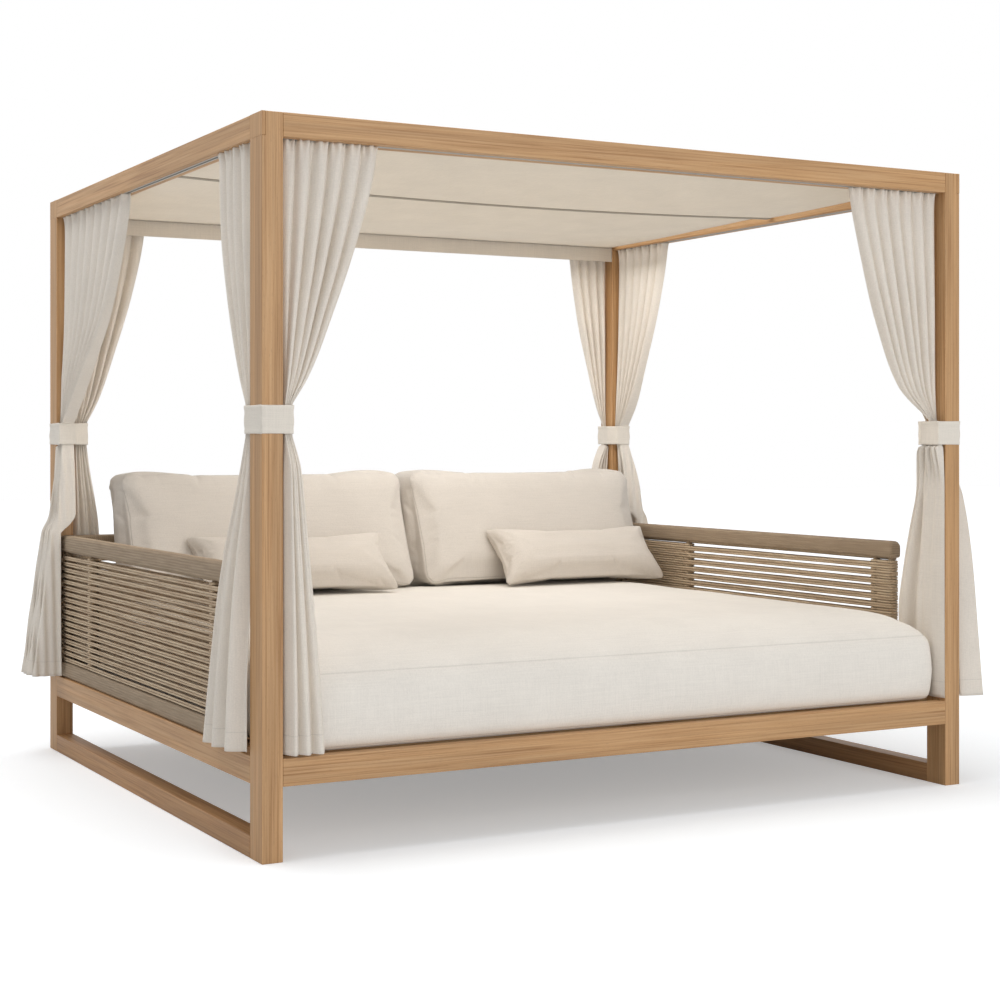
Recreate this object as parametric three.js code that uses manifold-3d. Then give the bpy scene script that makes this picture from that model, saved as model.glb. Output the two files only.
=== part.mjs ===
import * as THREE from 'three';
import { mergeVertices } from 'three/addons/utils/BufferGeometryUtils.js';
import Module from 'manifold-3d';

// Outdoor daybed with canopy, in millimetres. X runs left to right as seen from the open front,
// Y runs from the front to the back and Z is up. The origin is on the floor, under the middle of
// the four posts.

// Overall size over the posts
const frameWide = 2430;
const frameDeep = 2140;
const frameHigh = 2000;

// Timber sections
const postWide = 60;
const postDeep = 90;
const beamHigh = 65;
const railHigh = 75;
const railThick = 40;
const sideRailThick = 50;
const railUnder = 201;
const runnerHigh = 61;

// Clearance between pieces that touch
const seam = 0.3;

// Cover plates and the bolts behind them
const coverThick = 10;
const boltRadius = 4;
const boltHeadRadius = 8;
const boltHeadHigh = 6;
const boltLong = 95;
const boltPlay = 0.8;

// Curtain tracks, let into the undersides of the top beams
const trackWide = 20;
const trackHigh = 12;
const trackWall = 1.6;
const trackSlot = 6;

// Slatted platform
const slatCount = 12;
const slatWide = 95;
const slatThick = 20;
const slatTieWide = 40;
const slatTieThick = 12;
const slatTieLap = 4;
const slatTieShare = 0.5;
const ledgerWide = 30;
const ledgerHigh = 30;
const keelWide = 50;

// Rope panels of the arms and the back
const panelHigh = 508;
const panelInset = 5;
const tubeWide = 45;
const tubeHigh = 58;
const tubeCorner = 22;
const tubeEase = 7;
const uprightRadius = 12.5;
const weldDepth = 6;
const armFrontGap = 190;
const armUprightShares = { left: [0.087, 0.806], right: [0.058, 0.72] };
const backUprightShares = [0.34, 0.66];
const ropeThick = 9;
const ropeHigh = 17;
const ropeTurns = 13;
const ropePlay = 0.5;

// Mattress
const mattressSide = 200;
const mattressCrown = 92;
const mattressCorner = 70;
const mattressBulge = 8;
const mattressRise = 190;
const mattressEndGap = 20;
const mattressSetback = 25;
const mattressBackGap = 10;

// Back cushions and lumbar pillows
const cushionLeftWide = 1135;
const cushionRightWide = 1028;
const cushionHigh = 444;
const cushionThick = 200;
const cushionCorner = 45;
const cushionCrown = 24;
const cushionBackCrown = 12;
const cushionRise = 120;
const cushionWaist = 6;
// Slope of the rear face, and how much more the front face slopes
const cushionLean = 0.3;
const cushionTaper = 0.1;
const cushionEndGap = 37;
const cushionApart = 10;
const pillowWide = { left: 780, right: 735 };
const pillowHigh = 290;
const pillowEdge = 10;
const pillowCrown = 56;
const pillowCorner = 14;
const pillowWaist = 12;
const pillowRise = 125;
const pillowTilt = 42;
const pillowShift = { left: 20, right: 118 };
const restGap = 0.5;

// Canopy cloth, its battens and the valance over the back curtains
const canopyThick = 3;
const canopySideGap = 18;
const canopySag = 22;
const battenWide = 25;
const battenHigh = 25;
const battenDrop = 7;
const battenShare = 0.433;
const middleBattenHigh = 12;
const middleBattenDrop = 36;
const sleeveFold = 9;
const rearBattenDrop = 30;
// Lines across the cloth between its battens: share of the bay, of the fall and of the sag
const frontBayShares = [[0.5, 0.62, 0.55]];
const rearBayShares = [[0.3, 0.45, 0.75], [0.65, 0.85, 0.4]];
const valanceHigh = 60;
const valanceLap = 10;
const valanceThick = 3;

// Curtains and the bands that tie them to the posts
const curtainColumns = 10;
const headDepth = 50;
const headWide = {
  front_left: 296,
  front_right: 355,
  back_left: 284,
  back_right: 179,
  left_front: 290,
  left_back: 779,
  right_front: 317,
  right_back: 365,
};
const postClear = 1;
const bundleWide = { front_left: 28, front_right: 28, back_left: 56, back_right: 13 };
const bundleDeep = { front_left: 83, front_right: 83, back_left: 76, back_right: 76 };
const sideBundleWide = 38;
const sideBundleDeep = 56;
const tieMiddle = { front_left: 1181, front_right: 1151, back_left: 1151, back_right: 1151 };
const tieHigh = 78;
const tieThick = 3;
const tieClear = 0.6;
const hemLift = 10;
const hemOutClear = 7;
const hemFrontClear = 5;
const hemWide = {
  front_left: 116,
  front_right: 240,
  back_left: 130,
  back_right: 108,
  left_front: 262,
  left_back: 99,
  right_front: 49,
  right_back: 99,
};
const hemDeep = {
  front_left: 60,
  front_right: 8,
  back_left: 60,
  back_right: 60,
  left_front: 56,
  left_back: 119,
  right_front: 104,
  right_back: 119,
};
const hemPast = { left_front: 0, left_back: 96, right_front: 96, right_back: 96 };
// How a curtain narrows from its head to its band: share of the drop, share of the spread
const drapeShares = [[0, 1], [0.06, 0.98], [0.37, 0.77], [0.65, 0.485], [0.89, 0.2], [1, 0]];
const fullDrapeShares = [[0, 1], [0.06, 0.98], [0.24, 0.88], [0.6, 0.63], [0.85, 0.38], [1, 0]];
const longDrapeShares = [[0, 1], [0.06, 1], [0.3, 0.95], [0.6, 0.7], [0.89, 0.26], [1, 0]];
const wideDrapeShares = [[0, 1], [0.2, 0.89], [0.52, 0.65], [0.72, 0.39], [0.92, 0.12], [1, 0]];
// How it opens below the band: shares of the drop, of the way out, past the post, and of the
// hem's width and depth
const frontFallShares = [
  [0.12, 1, 0, 0.36, 0.85],
  [0.3, 1, 0, 0.5, 0.9],
  [0.55, 1, 0, 0.7, 0.95],
  [0.8, 1, 0, 0.88, 1],
  [1, 1, 0, 1, 1],
];
const backFallShares = [
  [0.1, 1, 0, 0.52, 1],
  [0.36, 1, 0, 0.8, 1],
  [0.68, 1, 0, 0.92, 1],
  [1, 1, 0, 1, 1],
];
const gapFallShares = [
  [0.03, 0.44],
  [0.09, 0.5],
  [0.22, 0.6],
  [0.35, 0.72],
  [0.48, 0.83],
  [0.69, 0.98],
  [1, 1],
];
const longFallShares = [
  [0.2, 0.3, 0, 0.31, 1],
  [0.38, 0.61, 0, 0.48, 1],
  [0.62, 0.9, 0, 0.65, 1],
  [0.86, 1, 0, 0.86, 1],
  [1, 1, 0, 1, 1],
];
const cornerFallShares = [
  [0.1, 0.106, 0, 0.6, 0.59],
  [0.245, 0.21, 0, 0.8, 0.74],
  [0.33, 0.28, 0, 0.87, 0.8],
  [0.375, 1, 0, 0.9, 0.4],
  [0.5, 1, 0.5, 0.95, 0.52],
  [0.74, 1, 0.85, 0.97, 0.75],
  [1, 1, 1, 1, 1],
];
const slimFallShares = [
  [0.087, 1, 0, 1.3, 0.42],
  [0.2, 1, 0.25, 1.5, 0.72],
  [0.45, 1, 0.62, 1.3, 0.84],
  [0.75, 1, 0.85, 1.1, 0.93],
  [1, 1, 1, 1, 1],
];
const edgeFoldShare = 0.45;
const foldDepthShare = 0.4;

// Sizes worked out from the ones above
const halfWide = frameWide / 2;
const halfDeep = frameDeep / 2;
const postInX = halfWide - postWide;
const postInY = halfDeep - postDeep;
const beamUnder = frameHigh - beamHigh;
const railTop = railUnder + railHigh;
const panelTop = railTop + panelHigh;
const armOut = halfWide - panelInset;
const armMiddle = armOut - tubeWide / 2;
const armIn = armOut - tubeWide;
const backPanelMiddle = postInY - seam - tubeWide / 2;
const backPanelFront = backPanelMiddle - tubeWide / 2;
const armFront = -postInY + armFrontGap;
const armBack = backPanelFront - seam;
const trackX = halfWide - postWide / 2;
const trackY = halfDeep - postDeep / 2;
const mattressHalfWide = armIn - mattressEndGap;
const mattressFront = -halfDeep + mattressSetback;
const mattressBack = backPanelFront - mattressBackGap;
const mattressTop = railTop + seam + mattressSide + mattressCrown;
const hemZ = railTop + hemLift;

const wasm = await Module();
wasm.setup();

// Finishes
const teak = { color: 0xc59b6b, roughness: 0.55, metalness: 0 };
const teakPlate = { color: 0xbd9163, roughness: 0.55, metalness: 0 };
const innerWood = { color: 0xb98f60, roughness: 0.7, metalness: 0 };
const rope = { color: 0x9a8a76, roughness: 0.9, metalness: 0 };
const wrap = { color: 0x8d7d6b, roughness: 0.9, metalness: 0 };
const linen = { color: 0xe9e2d6, roughness: 0.95, metalness: 0 };
const curtainLinen = { color: 0xe4dccf, roughness: 0.95, metalness: 0 };
const canopyLinen = { color: 0xd9cfbf, roughness: 0.95, metalness: 0 };
const aluminium = { color: 0xc9c9c6, roughness: 0.35, metalness: 1 };
const steel = { color: 0xa9abad, roughness: 0.3, metalness: 1 };

const sideName = (sign) => (sign < 0 ? 'left' : 'right');
const endName = (sign) => (sign < 0 ? 'front' : 'back');

function mesh(name, finish, geometry, x = 0, y = 0, z = 0) {
  const made = new THREE.Mesh(geometry, new THREE.MeshStandardMaterial(finish));
  made.name = name;
  made.position.set(x, y, z);
  return made;
}

// A rectangular piece given by its two ends along each axis
function bar(name, finish, [x0, x1], [y0, y1], [z0, z1], cuts = []) {
  const x = (x0 + x1) / 2;
  const y = (y0 + y1) / 2;
  const z = (z0 + z1) / 2;
  const block = new THREE.BoxGeometry(Math.abs(x1 - x0), Math.abs(y1 - y0), Math.abs(z1 - z0));
  const tools = cuts.map((tool) => tool.clone().translate(-x, -y, -z));
  return mesh(name, finish, tools.length ? cut(block, tools) : block, x, y, z);
}

function boxBetween([x0, x1], [y0, y1], [z0, z1]) {
  const block = new THREE.BoxGeometry(Math.abs(x1 - x0), Math.abs(y1 - y0), Math.abs(z1 - z0));
  return block.translate((x0 + x1) / 2, (y0 + y1) / 2, (z0 + z1) / 2);
}

function toSolid(geometry) {
  const plain = geometry.clone();
  plain.deleteAttribute('normal');
  plain.deleteAttribute('uv');
  const merged = mergeVertices(plain);
  const vertProperties = new Float32Array(merged.attributes.position.array);
  const triVerts = new Uint32Array(merged.index.array);
  return new wasm.Manifold(new wasm.Mesh({ numProp: 3, vertProperties, triVerts }));
}

function fromSolid(solid) {
  const { vertProperties, triVerts } = solid.getMesh();
  const geometry = new THREE.BufferGeometry();
  geometry.setAttribute('position', new THREE.BufferAttribute(vertProperties, 3));
  geometry.setIndex(new THREE.BufferAttribute(triVerts, 1));
  return geometry;
}

function join(pieces) {
  let solid = toSolid(pieces[0]);
  for (const piece of pieces.slice(1)) {
    solid = solid.add(toSolid(piece));
  }
  return fromSolid(solid);
}

function cut(block, tools) {
  let solid = toSolid(block);
  for (const tool of tools) {
    solid = solid.subtract(toSolid(tool));
  }
  return fromSolid(solid);
}

// A closed surface from points and triangles, turned so that its faces point out
function closedSurface(points, triangles) {
  let volume = 0;
  for (const [a, b, c] of triangles) {
    volume += points[a].dot(new THREE.Vector3().crossVectors(points[b], points[c]));
  }
  const facing = volume < 0 ? triangles.map(([a, b, c]) => [a, c, b]) : triangles;
  const geometry = new THREE.BufferGeometry();
  geometry.setAttribute('position', new THREE.Float32BufferAttribute(points.flatMap((p) => p.toArray()), 3));
  geometry.setIndex(facing.flat());
  return geometry;
}

// A thick sheet: place(column, row, side) gives the points of its two faces
function slab(columns, rows, place) {
  const points = [];
  for (const side of [1, -1]) {
    for (let row = 0; row < rows; row += 1) {
      for (let column = 0; column < columns; column += 1) {
        points.push(place(column, row, side));
      }
    }
  }
  const at = (column, row, side) => (side < 0 ? columns * rows : 0) + row * columns + column;
  const triangles = [];
  const quad = (a, b, c, d) => triangles.push([a, b, c], [a, c, d]);
  for (let row = 0; row < rows - 1; row += 1) {
    for (let column = 0; column < columns - 1; column += 1) {
      quad(at(column, row, 1), at(column + 1, row, 1), at(column + 1, row + 1, 1), at(column, row + 1, 1));
      quad(at(column, row, -1), at(column, row + 1, -1), at(column + 1, row + 1, -1), at(column + 1, row, -1));
    }
    quad(at(0, row, 1), at(0, row + 1, 1), at(0, row + 1, -1), at(0, row, -1));
    const last = columns - 1;
    quad(at(last, row, 1), at(last, row, -1), at(last, row + 1, -1), at(last, row + 1, 1));
  }
  for (let column = 0; column < columns - 1; column += 1) {
    quad(at(column, 0, 1), at(column, 0, -1), at(column + 1, 0, -1), at(column + 1, 0, 1));
    const end = rows - 1;
    quad(at(column, end, 1), at(column + 1, end, 1), at(column + 1, end, -1), at(column, end, -1));
  }
  return closedSurface(points, triangles);
}

// A stack of rings of equal count, closed by a point at each end
function ringStack(rings, first, last) {
  const count = rings[0].length;
  const points = [...rings.flat(), first, last];
  const firstAt = points.length - 2;
  const lastAt = points.length - 1;
  const triangles = [];
  for (let i = 0; i < count; i += 1) {
    const next = (i + 1) % count;
    for (let ring = 0; ring < rings.length - 1; ring += 1) {
      const low = ring * count;
      const high = low + count;
      triangles.push([low + i, low + next, high + next], [low + i, high + next, high + i]);
    }
    const top = (rings.length - 1) * count;
    triangles.push([firstAt, next, i], [lastAt, top + i, top + next]);
  }
  return closedSurface(points, triangles);
}

// Four posts with a housing for the cover plate and bores for the bolts
const boltZ = beamUnder + beamHigh / 2;
const boltHeadX = halfWide - coverThick - seam;
const boreSides = 12;

function boreX(radius, fromX, toX, y, z) {
  const bore = new THREE.CylinderGeometry(radius, radius, Math.abs(toX - fromX), boreSides);
  return bore.rotateZ(Math.PI / 2).translate((fromX + toX) / 2, y, z);
}

function boltBores(sx, sy) {
  const y = sy * trackY;
  const headSeat = boltHeadX - boltHeadHigh - seam;
  const tip = boltHeadX - boltLong - boltPlay;
  return [
    boreX(boltHeadRadius + boltPlay, sx * halfWide, sx * headSeat, y, boltZ),
    boreX(boltRadius + seam, sx * halfWide, sx * tip, y, boltZ),
  ];
}

function makePost(sx, sy) {
  const name = `post_${endName(sy)}_${sideName(sx)}`;
  const housing = boxBetween(
    [sx * (halfWide - coverThick), sx * (halfWide + coverThick)],
    [sy * (postInY - coverThick), sy * (halfDeep + coverThick)],
    [beamUnder, frameHigh + coverThick],
  );
  return bar(name, teak, [sx * postInX, sx * halfWide], [sy * postInY, sy * halfDeep], [0, frameHigh], [
    housing,
    ...boltBores(sx, sy),
  ]);
}

function makeCover(sx, sy) {
  const name = `cover_plate_${endName(sy)}_${sideName(sx)}`;
  const inner = halfWide - coverThick + seam;
  const heights = [beamUnder + seam, frameHigh];
  return bar(name, teakPlate, [sx * inner, sx * halfWide], [sy * postInY, sy * halfDeep], heights);
}

function makeBolt(sx, sy) {
  const profile = [
    new THREE.Vector2(0, 0),
    new THREE.Vector2(boltHeadRadius, 0),
    new THREE.Vector2(boltHeadRadius, boltHeadHigh),
    new THREE.Vector2(boltRadius, boltHeadHigh),
    new THREE.Vector2(boltRadius, boltLong),
    new THREE.Vector2(0, boltLong),
  ];
  const bolt = new THREE.LatheGeometry(profile, boreSides);
  const name = `beam_bolt_${endName(sy)}_${sideName(sx)}`;
  const placed = mesh(name, steel, bolt, sx * boltHeadX, sy * trackY, boltZ);
  placed.rotation.z = (sx * Math.PI) / 2;
  return placed;
}

// Top beams with a groove for the curtain track along the underside
const grooveWide = trackWide + 2 * seam;
const grooveTop = beamUnder + trackHigh + seam;

function makeCrossBeam(sy) {
  const end = postInX - seam;
  const groove = boxBetween(
    [-halfWide, halfWide],
    [sy * trackY - grooveWide / 2, sy * trackY + grooveWide / 2],
    [beamUnder - trackHigh, grooveTop],
  );
  const cuts = [groove, ...boltBores(-1, sy), ...boltBores(1, sy)];
  const depth = [sy * postInY, sy * halfDeep];
  return bar(`beam_${endName(sy)}`, teak, [-end, end], depth, [beamUnder, frameHigh], cuts);
}

function makeSideBeam(sx) {
  const end = postInY - seam;
  const groove = boxBetween(
    [sx * trackX - grooveWide / 2, sx * trackX + grooveWide / 2],
    [-halfDeep, halfDeep],
    [beamUnder - trackHigh, grooveTop],
  );
  const width = [sx * postInX, sx * halfWide];
  return bar(`beam_${sideName(sx)}`, teak, width, [-end, end], [beamUnder, frameHigh], [groove]);
}

// A slotted channel, open downwards, that the curtain gliders run in
function makeTrack(name, long, x, y, along) {
  const half = trackWide / 2;
  const slot = trackSlot / 2;
  const shape = new THREE.Shape([
    new THREE.Vector2(-half, 0),
    new THREE.Vector2(-slot, 0),
    new THREE.Vector2(-slot, trackWall),
    new THREE.Vector2(-half + trackWall, trackWall),
    new THREE.Vector2(-half + trackWall, trackHigh - trackWall),
    new THREE.Vector2(half - trackWall, trackHigh - trackWall),
    new THREE.Vector2(half - trackWall, trackWall),
    new THREE.Vector2(slot, trackWall),
    new THREE.Vector2(slot, 0),
    new THREE.Vector2(half, 0),
    new THREE.Vector2(half, trackHigh),
    new THREE.Vector2(-half, trackHigh),
  ]);
  const channel = new THREE.ExtrudeGeometry(shape, { depth: long, bevelEnabled: false, steps: 1 });
  channel.translate(0, 0, -long / 2).rotateX(Math.PI / 2);
  const track = mesh(name, aluminium, channel, x, y, beamUnder);
  track.rotation.z = along === 'x' ? Math.PI / 2 : 0;
  return track;
}

function makeFrame() {
  const frame = new THREE.Group();
  for (const sx of [-1, 1]) {
    for (const sy of [-1, 1]) {
      frame.add(makePost(sx, sy), makeCover(sx, sy), makeBolt(sx, sy));
    }
  }
  for (const sign of [-1, 1]) {
    frame.add(makeCrossBeam(sign), makeSideBeam(sign));
    const crossLong = 2 * (postInX - 2 * seam);
    const sideLong = 2 * (postInY - 2 * seam);
    frame.add(makeTrack(`track_${endName(sign)}`, crossLong, 0, sign * trackY, 'x'));
    frame.add(makeTrack(`track_${sideName(sign)}`, sideLong, sign * trackX, 0, 'y'));
    const railEnd = postInY - seam;
    const sideWidth = [sign * (halfWide - sideRailThick), sign * halfWide];
    frame.add(bar(`seat_rail_${sideName(sign)}`, teak, sideWidth, [-railEnd, railEnd], [railUnder, railTop]));
    const runnerWidth = [sign * postInX, sign * halfWide];
    frame.add(bar(`runner_${sideName(sign)}`, teak, runnerWidth, [-railEnd, railEnd], [0, runnerHigh]));
  }
  const across = [-postInX + seam, postInX - seam];
  frame.add(bar('seat_rail_front', teak, across, [-halfDeep, -halfDeep + railThick], [railUnder, railTop]));
  frame.add(bar('seat_rail_back', teak, across, [postInY, postInY + railThick], [railUnder, railTop]));
  return frame;
}

// Slats screwed to two ties, lying on two side ledgers and a middle bearer
function makePlatform() {
  const platform = new THREE.Group();
  const slatUnder = railTop - slatThick;
  const railInner = halfWide - sideRailThick;
  const slatSpan = 2 * (postInY - 2 * seam) - slatWide;
  for (const sx of [-1, 1]) {
    const width = [sx * (railInner - ledgerWide - seam), sx * (railInner - seam)];
    const heights = [slatUnder - seam - ledgerHigh, slatUnder - seam];
    const length = [-postInY + seam, postInY - seam];
    platform.add(bar(`ledger_${sideName(sx)}`, innerWood, width, length, heights));
  }
  const bearerLength = [-halfDeep + railThick + seam, postInY - seam];
  const bearerHeights = [railUnder, slatUnder - seam];
  platform.add(bar('middle_bearer', innerWood, [-keelWide / 2, keelWide / 2], bearerLength, bearerHeights));
  const slats = [-1, 1].map((sign) => {
    const x = sign * slatTieShare * railInner;
    const heights = [slatUnder - slatTieThick, slatUnder + slatTieLap];
    const end = slatSpan / 2 + slatWide / 2;
    return boxBetween([x - slatTieWide / 2, x + slatTieWide / 2], [-end, end], heights);
  });
  for (let i = 0; i < slatCount; i += 1) {
    const y = -slatSpan / 2 + (slatSpan * i) / (slatCount - 1);
    const end = railInner - seam;
    slats.push(boxBetween([-end, end], [y - slatWide / 2, y + slatWide / 2], [slatUnder, railTop]));
  }
  platform.add(mesh('slat_panel', innerWood, join(slats)));
  return platform;
}

// A wrapped tube with eased edges and round ends, lying along X with its underside at zero
function wrappedTube(long, roundTop) {
  const half = long / 2 - tubeEase;
  const high = tubeHigh - 2 * tubeEase;
  const corner = tubeCorner - tubeEase;
  const shape = new THREE.Shape();
  shape.moveTo(-half, 0);
  shape.lineTo(half, 0);
  if (roundTop) {
    shape.lineTo(half, high - corner);
    shape.absarc(half - corner, high - corner, corner, 0, Math.PI / 2);
    shape.absarc(-half + corner, high - corner, corner, Math.PI / 2, Math.PI);
  } else {
    shape.lineTo(half, high);
    shape.lineTo(-half, high);
  }
  shape.closePath();
  const tube = new THREE.ExtrudeGeometry(shape, {
    depth: tubeWide - 2 * tubeEase,
    bevelThickness: tubeEase,
    bevelSize: tubeEase,
    bevelSegments: 1,
    curveSegments: 3,
    steps: 1,
  });
  return tube.translate(0, tubeEase, tubeEase - tubeWide / 2).rotateX(Math.PI / 2);
}

// The rope goes round the end uprights in level turns and climbs one pitch in each far end
function ropeWinding(long, under, over) {
  const reach = uprightRadius + ropePlay + ropeThick / 2;
  const half = long / 2 - reach - ropeThick / 2;
  const pitch = (over - under - ropeHigh - 2 * ropePlay) / ropeTurns;
  const start = under + ropePlay + ropeHigh / 2;
  const arcSteps = 4;
  const path = [];
  for (let turn = 0; turn < ropeTurns; turn += 1) {
    const z = start + turn * pitch;
    for (let i = 0; i <= arcSteps; i += 1) {
      const angle = -Math.PI / 2 + (Math.PI * i) / arcSteps;
      const climb = (pitch * i) / arcSteps;
      path.push(new THREE.Vector3(half + reach * Math.cos(angle), reach * Math.sin(angle), z + climb));
    }
    for (let i = 0; i <= arcSteps && turn < ropeTurns - 1; i += 1) {
      const angle = Math.PI / 2 + (Math.PI * i) / arcSteps;
      path.push(new THREE.Vector3(-half + reach * Math.cos(angle), reach * Math.sin(angle), z + pitch));
    }
  }
  path.unshift(new THREE.Vector3(-half, -reach, start));
  path.push(new THREE.Vector3(-half, reach, start + ropeTurns * pitch));
  const sides = 5;
  const rings = path.map((point, i) => {
    const before = path[Math.max(i - 1, 0)];
    const after = path[Math.min(i + 1, path.length - 1)];
    const ahead = new THREE.Vector3().subVectors(after, before).setZ(0).normalize();
    const outward = new THREE.Vector3(ahead.y, -ahead.x, 0);
    return Array.from({ length: sides }, (_, k) => {
      const angle = (2 * Math.PI * k) / sides;
      const flat = point.clone().addScaledVector(outward, (ropeThick / 2) * Math.cos(angle));
      return flat.setZ(point.z + (ropeHigh / 2) * Math.sin(angle));
    });
  });
  let leastGap = Infinity;
  for (let i = 0; i < path.length; i += 1) {
    for (let j = i + arcSteps; j < path.length; j += 1) {
      const level = Math.hypot(path[i].x - path[j].x, path[i].y - path[j].y) - ropeThick;
      const rise = Math.abs(path[i].z - path[j].z) - ropeHigh;
      leastGap = Math.min(leastGap, Math.max(level, rise));
    }
  }
  console.log(`rope winding ${long.toFixed(0)} mm long: least gap to itself ${leastGap.toFixed(2)} mm`);
  return ringStack(rings, path[0].clone(), path[path.length - 1].clone());
}

// One woven panel along X: a welded frame of top and bottom tubes and uprights, and its rope
function makePanel(name, long, shares) {
  const panel = new THREE.Group();
  const under = seam + tubeHigh;
  const over = panelHigh - tubeHigh;
  const uprightHigh = over - under + 2 * weldDepth;
  const endAt = long / 2 - uprightRadius - ropePlay - ropeThick;
  const places = [-endAt, ...shares.map((share) => -long / 2 + share * long), endAt];
  const uprights = places.map((x) => {
    const upright = new THREE.CylinderGeometry(uprightRadius, uprightRadius, uprightHigh, 12);
    return upright.rotateX(Math.PI / 2).translate(x, 0, (under + over) / 2);
  });
  const bottomTube = wrappedTube(long, false).translate(0, 0, seam);
  const topTube = wrappedTube(long, true).translate(0, 0, over);
  panel.add(mesh(`${name}_frame`, wrap, join([bottomTube, topTube, ...uprights])));
  panel.add(mesh(`${name}_rope`, rope, ropeWinding(long, under, over)));
  return panel;
}

function makePanels() {
  const panels = new THREE.Group();
  for (const sx of [-1, 1]) {
    const arm = makePanel(`arm_${sideName(sx)}`, armBack - armFront, armUprightShares[sideName(sx)]);
    arm.rotation.z = Math.PI / 2;
    arm.position.set(sx * armMiddle, (armFront + armBack) / 2, railTop);
    panels.add(arm);
  }
  const back = makePanel('back', 2 * armOut, backUprightShares);
  back.position.set(0, backPanelMiddle, railTop);
  panels.add(back);
  return panels;
}

// The outline of a stuffed piece: round corners, and sides drawn in between them
function paddedOutline(wide, high, corner, waist, inset) {
  const radius = Math.max(corner - inset, corner / 5);
  const x = wide / 2 - inset - radius;
  const y = high / 2 - inset - radius;
  const arcSteps = 3;
  const points = [];
  const corners = [[1, 1], [-1, 1], [-1, -1], [1, -1]];
  const betweenShares = [0.3, 0.7];
  corners.forEach(([sx, sy], k) => {
    for (let i = 0; i <= arcSteps; i += 1) {
      const angle = (k * Math.PI) / 2 + ((Math.PI / 2) * i) / arcSteps;
      points.push(new THREE.Vector2(sx * x + radius * Math.cos(angle), sy * y + radius * Math.sin(angle)));
    }
    const [nx, ny] = corners[(k + 1) % 4];
    for (const share of betweenShares) {
      const away = radius - waist;
      const level = k % 2 === 0;
      const px = level ? sx * x + (nx - sx) * x * share : sx * x + sx * away;
      const py = level ? sy * y + sy * away : sy * y + (ny - sy) * y * share;
      points.push(new THREE.Vector2(px, py));
    }
  });
  return points;
}

// A stuffed piece, lying face up: its boxing, and a crown on each face
function paddedForm({ wide, high, thick, corner, waist, bulge, rise, crown, underCrown }) {
  const crownShares = [[0, 0], [0.2, 0.42], [0.55, 0.84], [1, 1]];
  const ring = (inset, z) => paddedOutline(wide, high, corner, waist, inset)
    .map((point) => new THREE.Vector3(point.x, point.y, z));
  const rings = [];
  for (const [insetShare, crownShare] of [...crownShares].reverse()) {
    rings.push(ring(insetShare * rise, -thick / 2 - underCrown * crownShare));
  }
  if (bulge > 0) {
    rings.push(ring(-bulge, 0));
  }
  for (const [insetShare, crownShare] of crownShares) {
    rings.push(ring(insetShare * rise, thick / 2 + crown * crownShare));
  }
  const below = new THREE.Vector3(0, 0, -thick / 2 - underCrown);
  const above = new THREE.Vector3(0, 0, thick / 2 + crown);
  return ringStack(rings, below, above);
}

function moved(geometry, change) {
  const place = geometry.attributes.position;
  const point = new THREE.Vector3();
  for (let i = 0; i < place.count; i += 1) {
    point.fromBufferAttribute(place, i);
    change(point);
    place.setXYZ(i, point.x, point.y, point.z);
  }
  return geometry;
}

function makeMattress() {
  const deep = mattressBack - mattressFront;
  const form = paddedForm({
    wide: 2 * (mattressHalfWide - mattressBulge),
    high: deep - 2 * mattressBulge,
    thick: mattressSide,
    corner: mattressCorner,
    waist: 0,
    bulge: mattressBulge,
    rise: mattressRise,
    crown: mattressCrown,
    underCrown: 0,
  });
  const z = railTop + seam + mattressSide / 2;
  return mesh('mattress', linen, form, 0, (mattressFront + mattressBack) / 2, z);
}

// Back cushions stand on the mattress and lean on the top tube of the back panel
const cushionFoot = mattressTop + restGap;
const cushionMiddle = cushionFoot + cushionHigh / 2;
const leanAtTube = cushionLean * (panelTop - cushionMiddle);
const cushionY = backPanelFront - restGap - cushionBackCrown - cushionThick / 2 - leanAtTube;
const cushionRightX = armIn - cushionEndGap - cushionRightWide / 2;
const cushionLeftX = armIn - cushionEndGap - cushionRightWide - cushionApart - cushionLeftWide / 2;

function makeCushion(name, x, wide) {
  const form = paddedForm({
    wide,
    high: cushionHigh,
    thick: cushionThick,
    corner: cushionCorner,
    waist: cushionWaist,
    bulge: 0,
    rise: cushionRise,
    crown: cushionCrown,
    underCrown: cushionBackCrown,
  });
  form.rotateX(Math.PI / 2);
  moved(form, (point) => {
    const frontShare = 0.5 - point.y / cushionThick;
    point.y += point.z * (cushionLean + cushionTaper * frontShare);
  });
  return mesh(name, linen, form, x, cushionY, cushionMiddle);
}

// A lumbar pillow stands on the mattress, tilted back until it rests on its cushion
const cushionFrontLean = cushionLean + cushionTaper * (1 + cushionCrown / cushionThick);

function makePillow(name, x, wide) {
  const form = paddedForm({
    wide,
    high: pillowHigh,
    thick: pillowEdge,
    corner: pillowCorner,
    waist: pillowWaist,
    bulge: 0,
    rise: pillowRise,
    crown: pillowCrown,
    underCrown: pillowCrown,
  });
  form.rotateX(Math.PI / 2 - THREE.MathUtils.degToRad(pillowTilt));
  form.computeBoundingBox();
  const z = mattressTop + restGap - form.boundingBox.min.z;
  let reach = -Infinity;
  moved(form, (point) => {
    const lean = cushionFrontLean * (point.z + z - cushionMiddle);
    reach = Math.max(reach, point.y - lean);
  });
  const faceY = cushionY - cushionThick / 2 - cushionCrown;
  return mesh(name, linen, form, x, faceY - restGap - reach, z);
}

function makeBedding() {
  const bedding = new THREE.Group();
  bedding.add(makeMattress());
  bedding.add(makeCushion('back_cushion_left', cushionLeftX, cushionLeftWide));
  bedding.add(makeCushion('back_cushion_right', cushionRightX, cushionRightWide));
  bedding.add(makePillow('lumbar_pillow_left', cushionLeftX + pillowShift.left, pillowWide.left));
  bedding.add(makePillow('lumbar_pillow_right', cushionRightX + pillowShift.right, pillowWide.right));
  return bedding;
}

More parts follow.
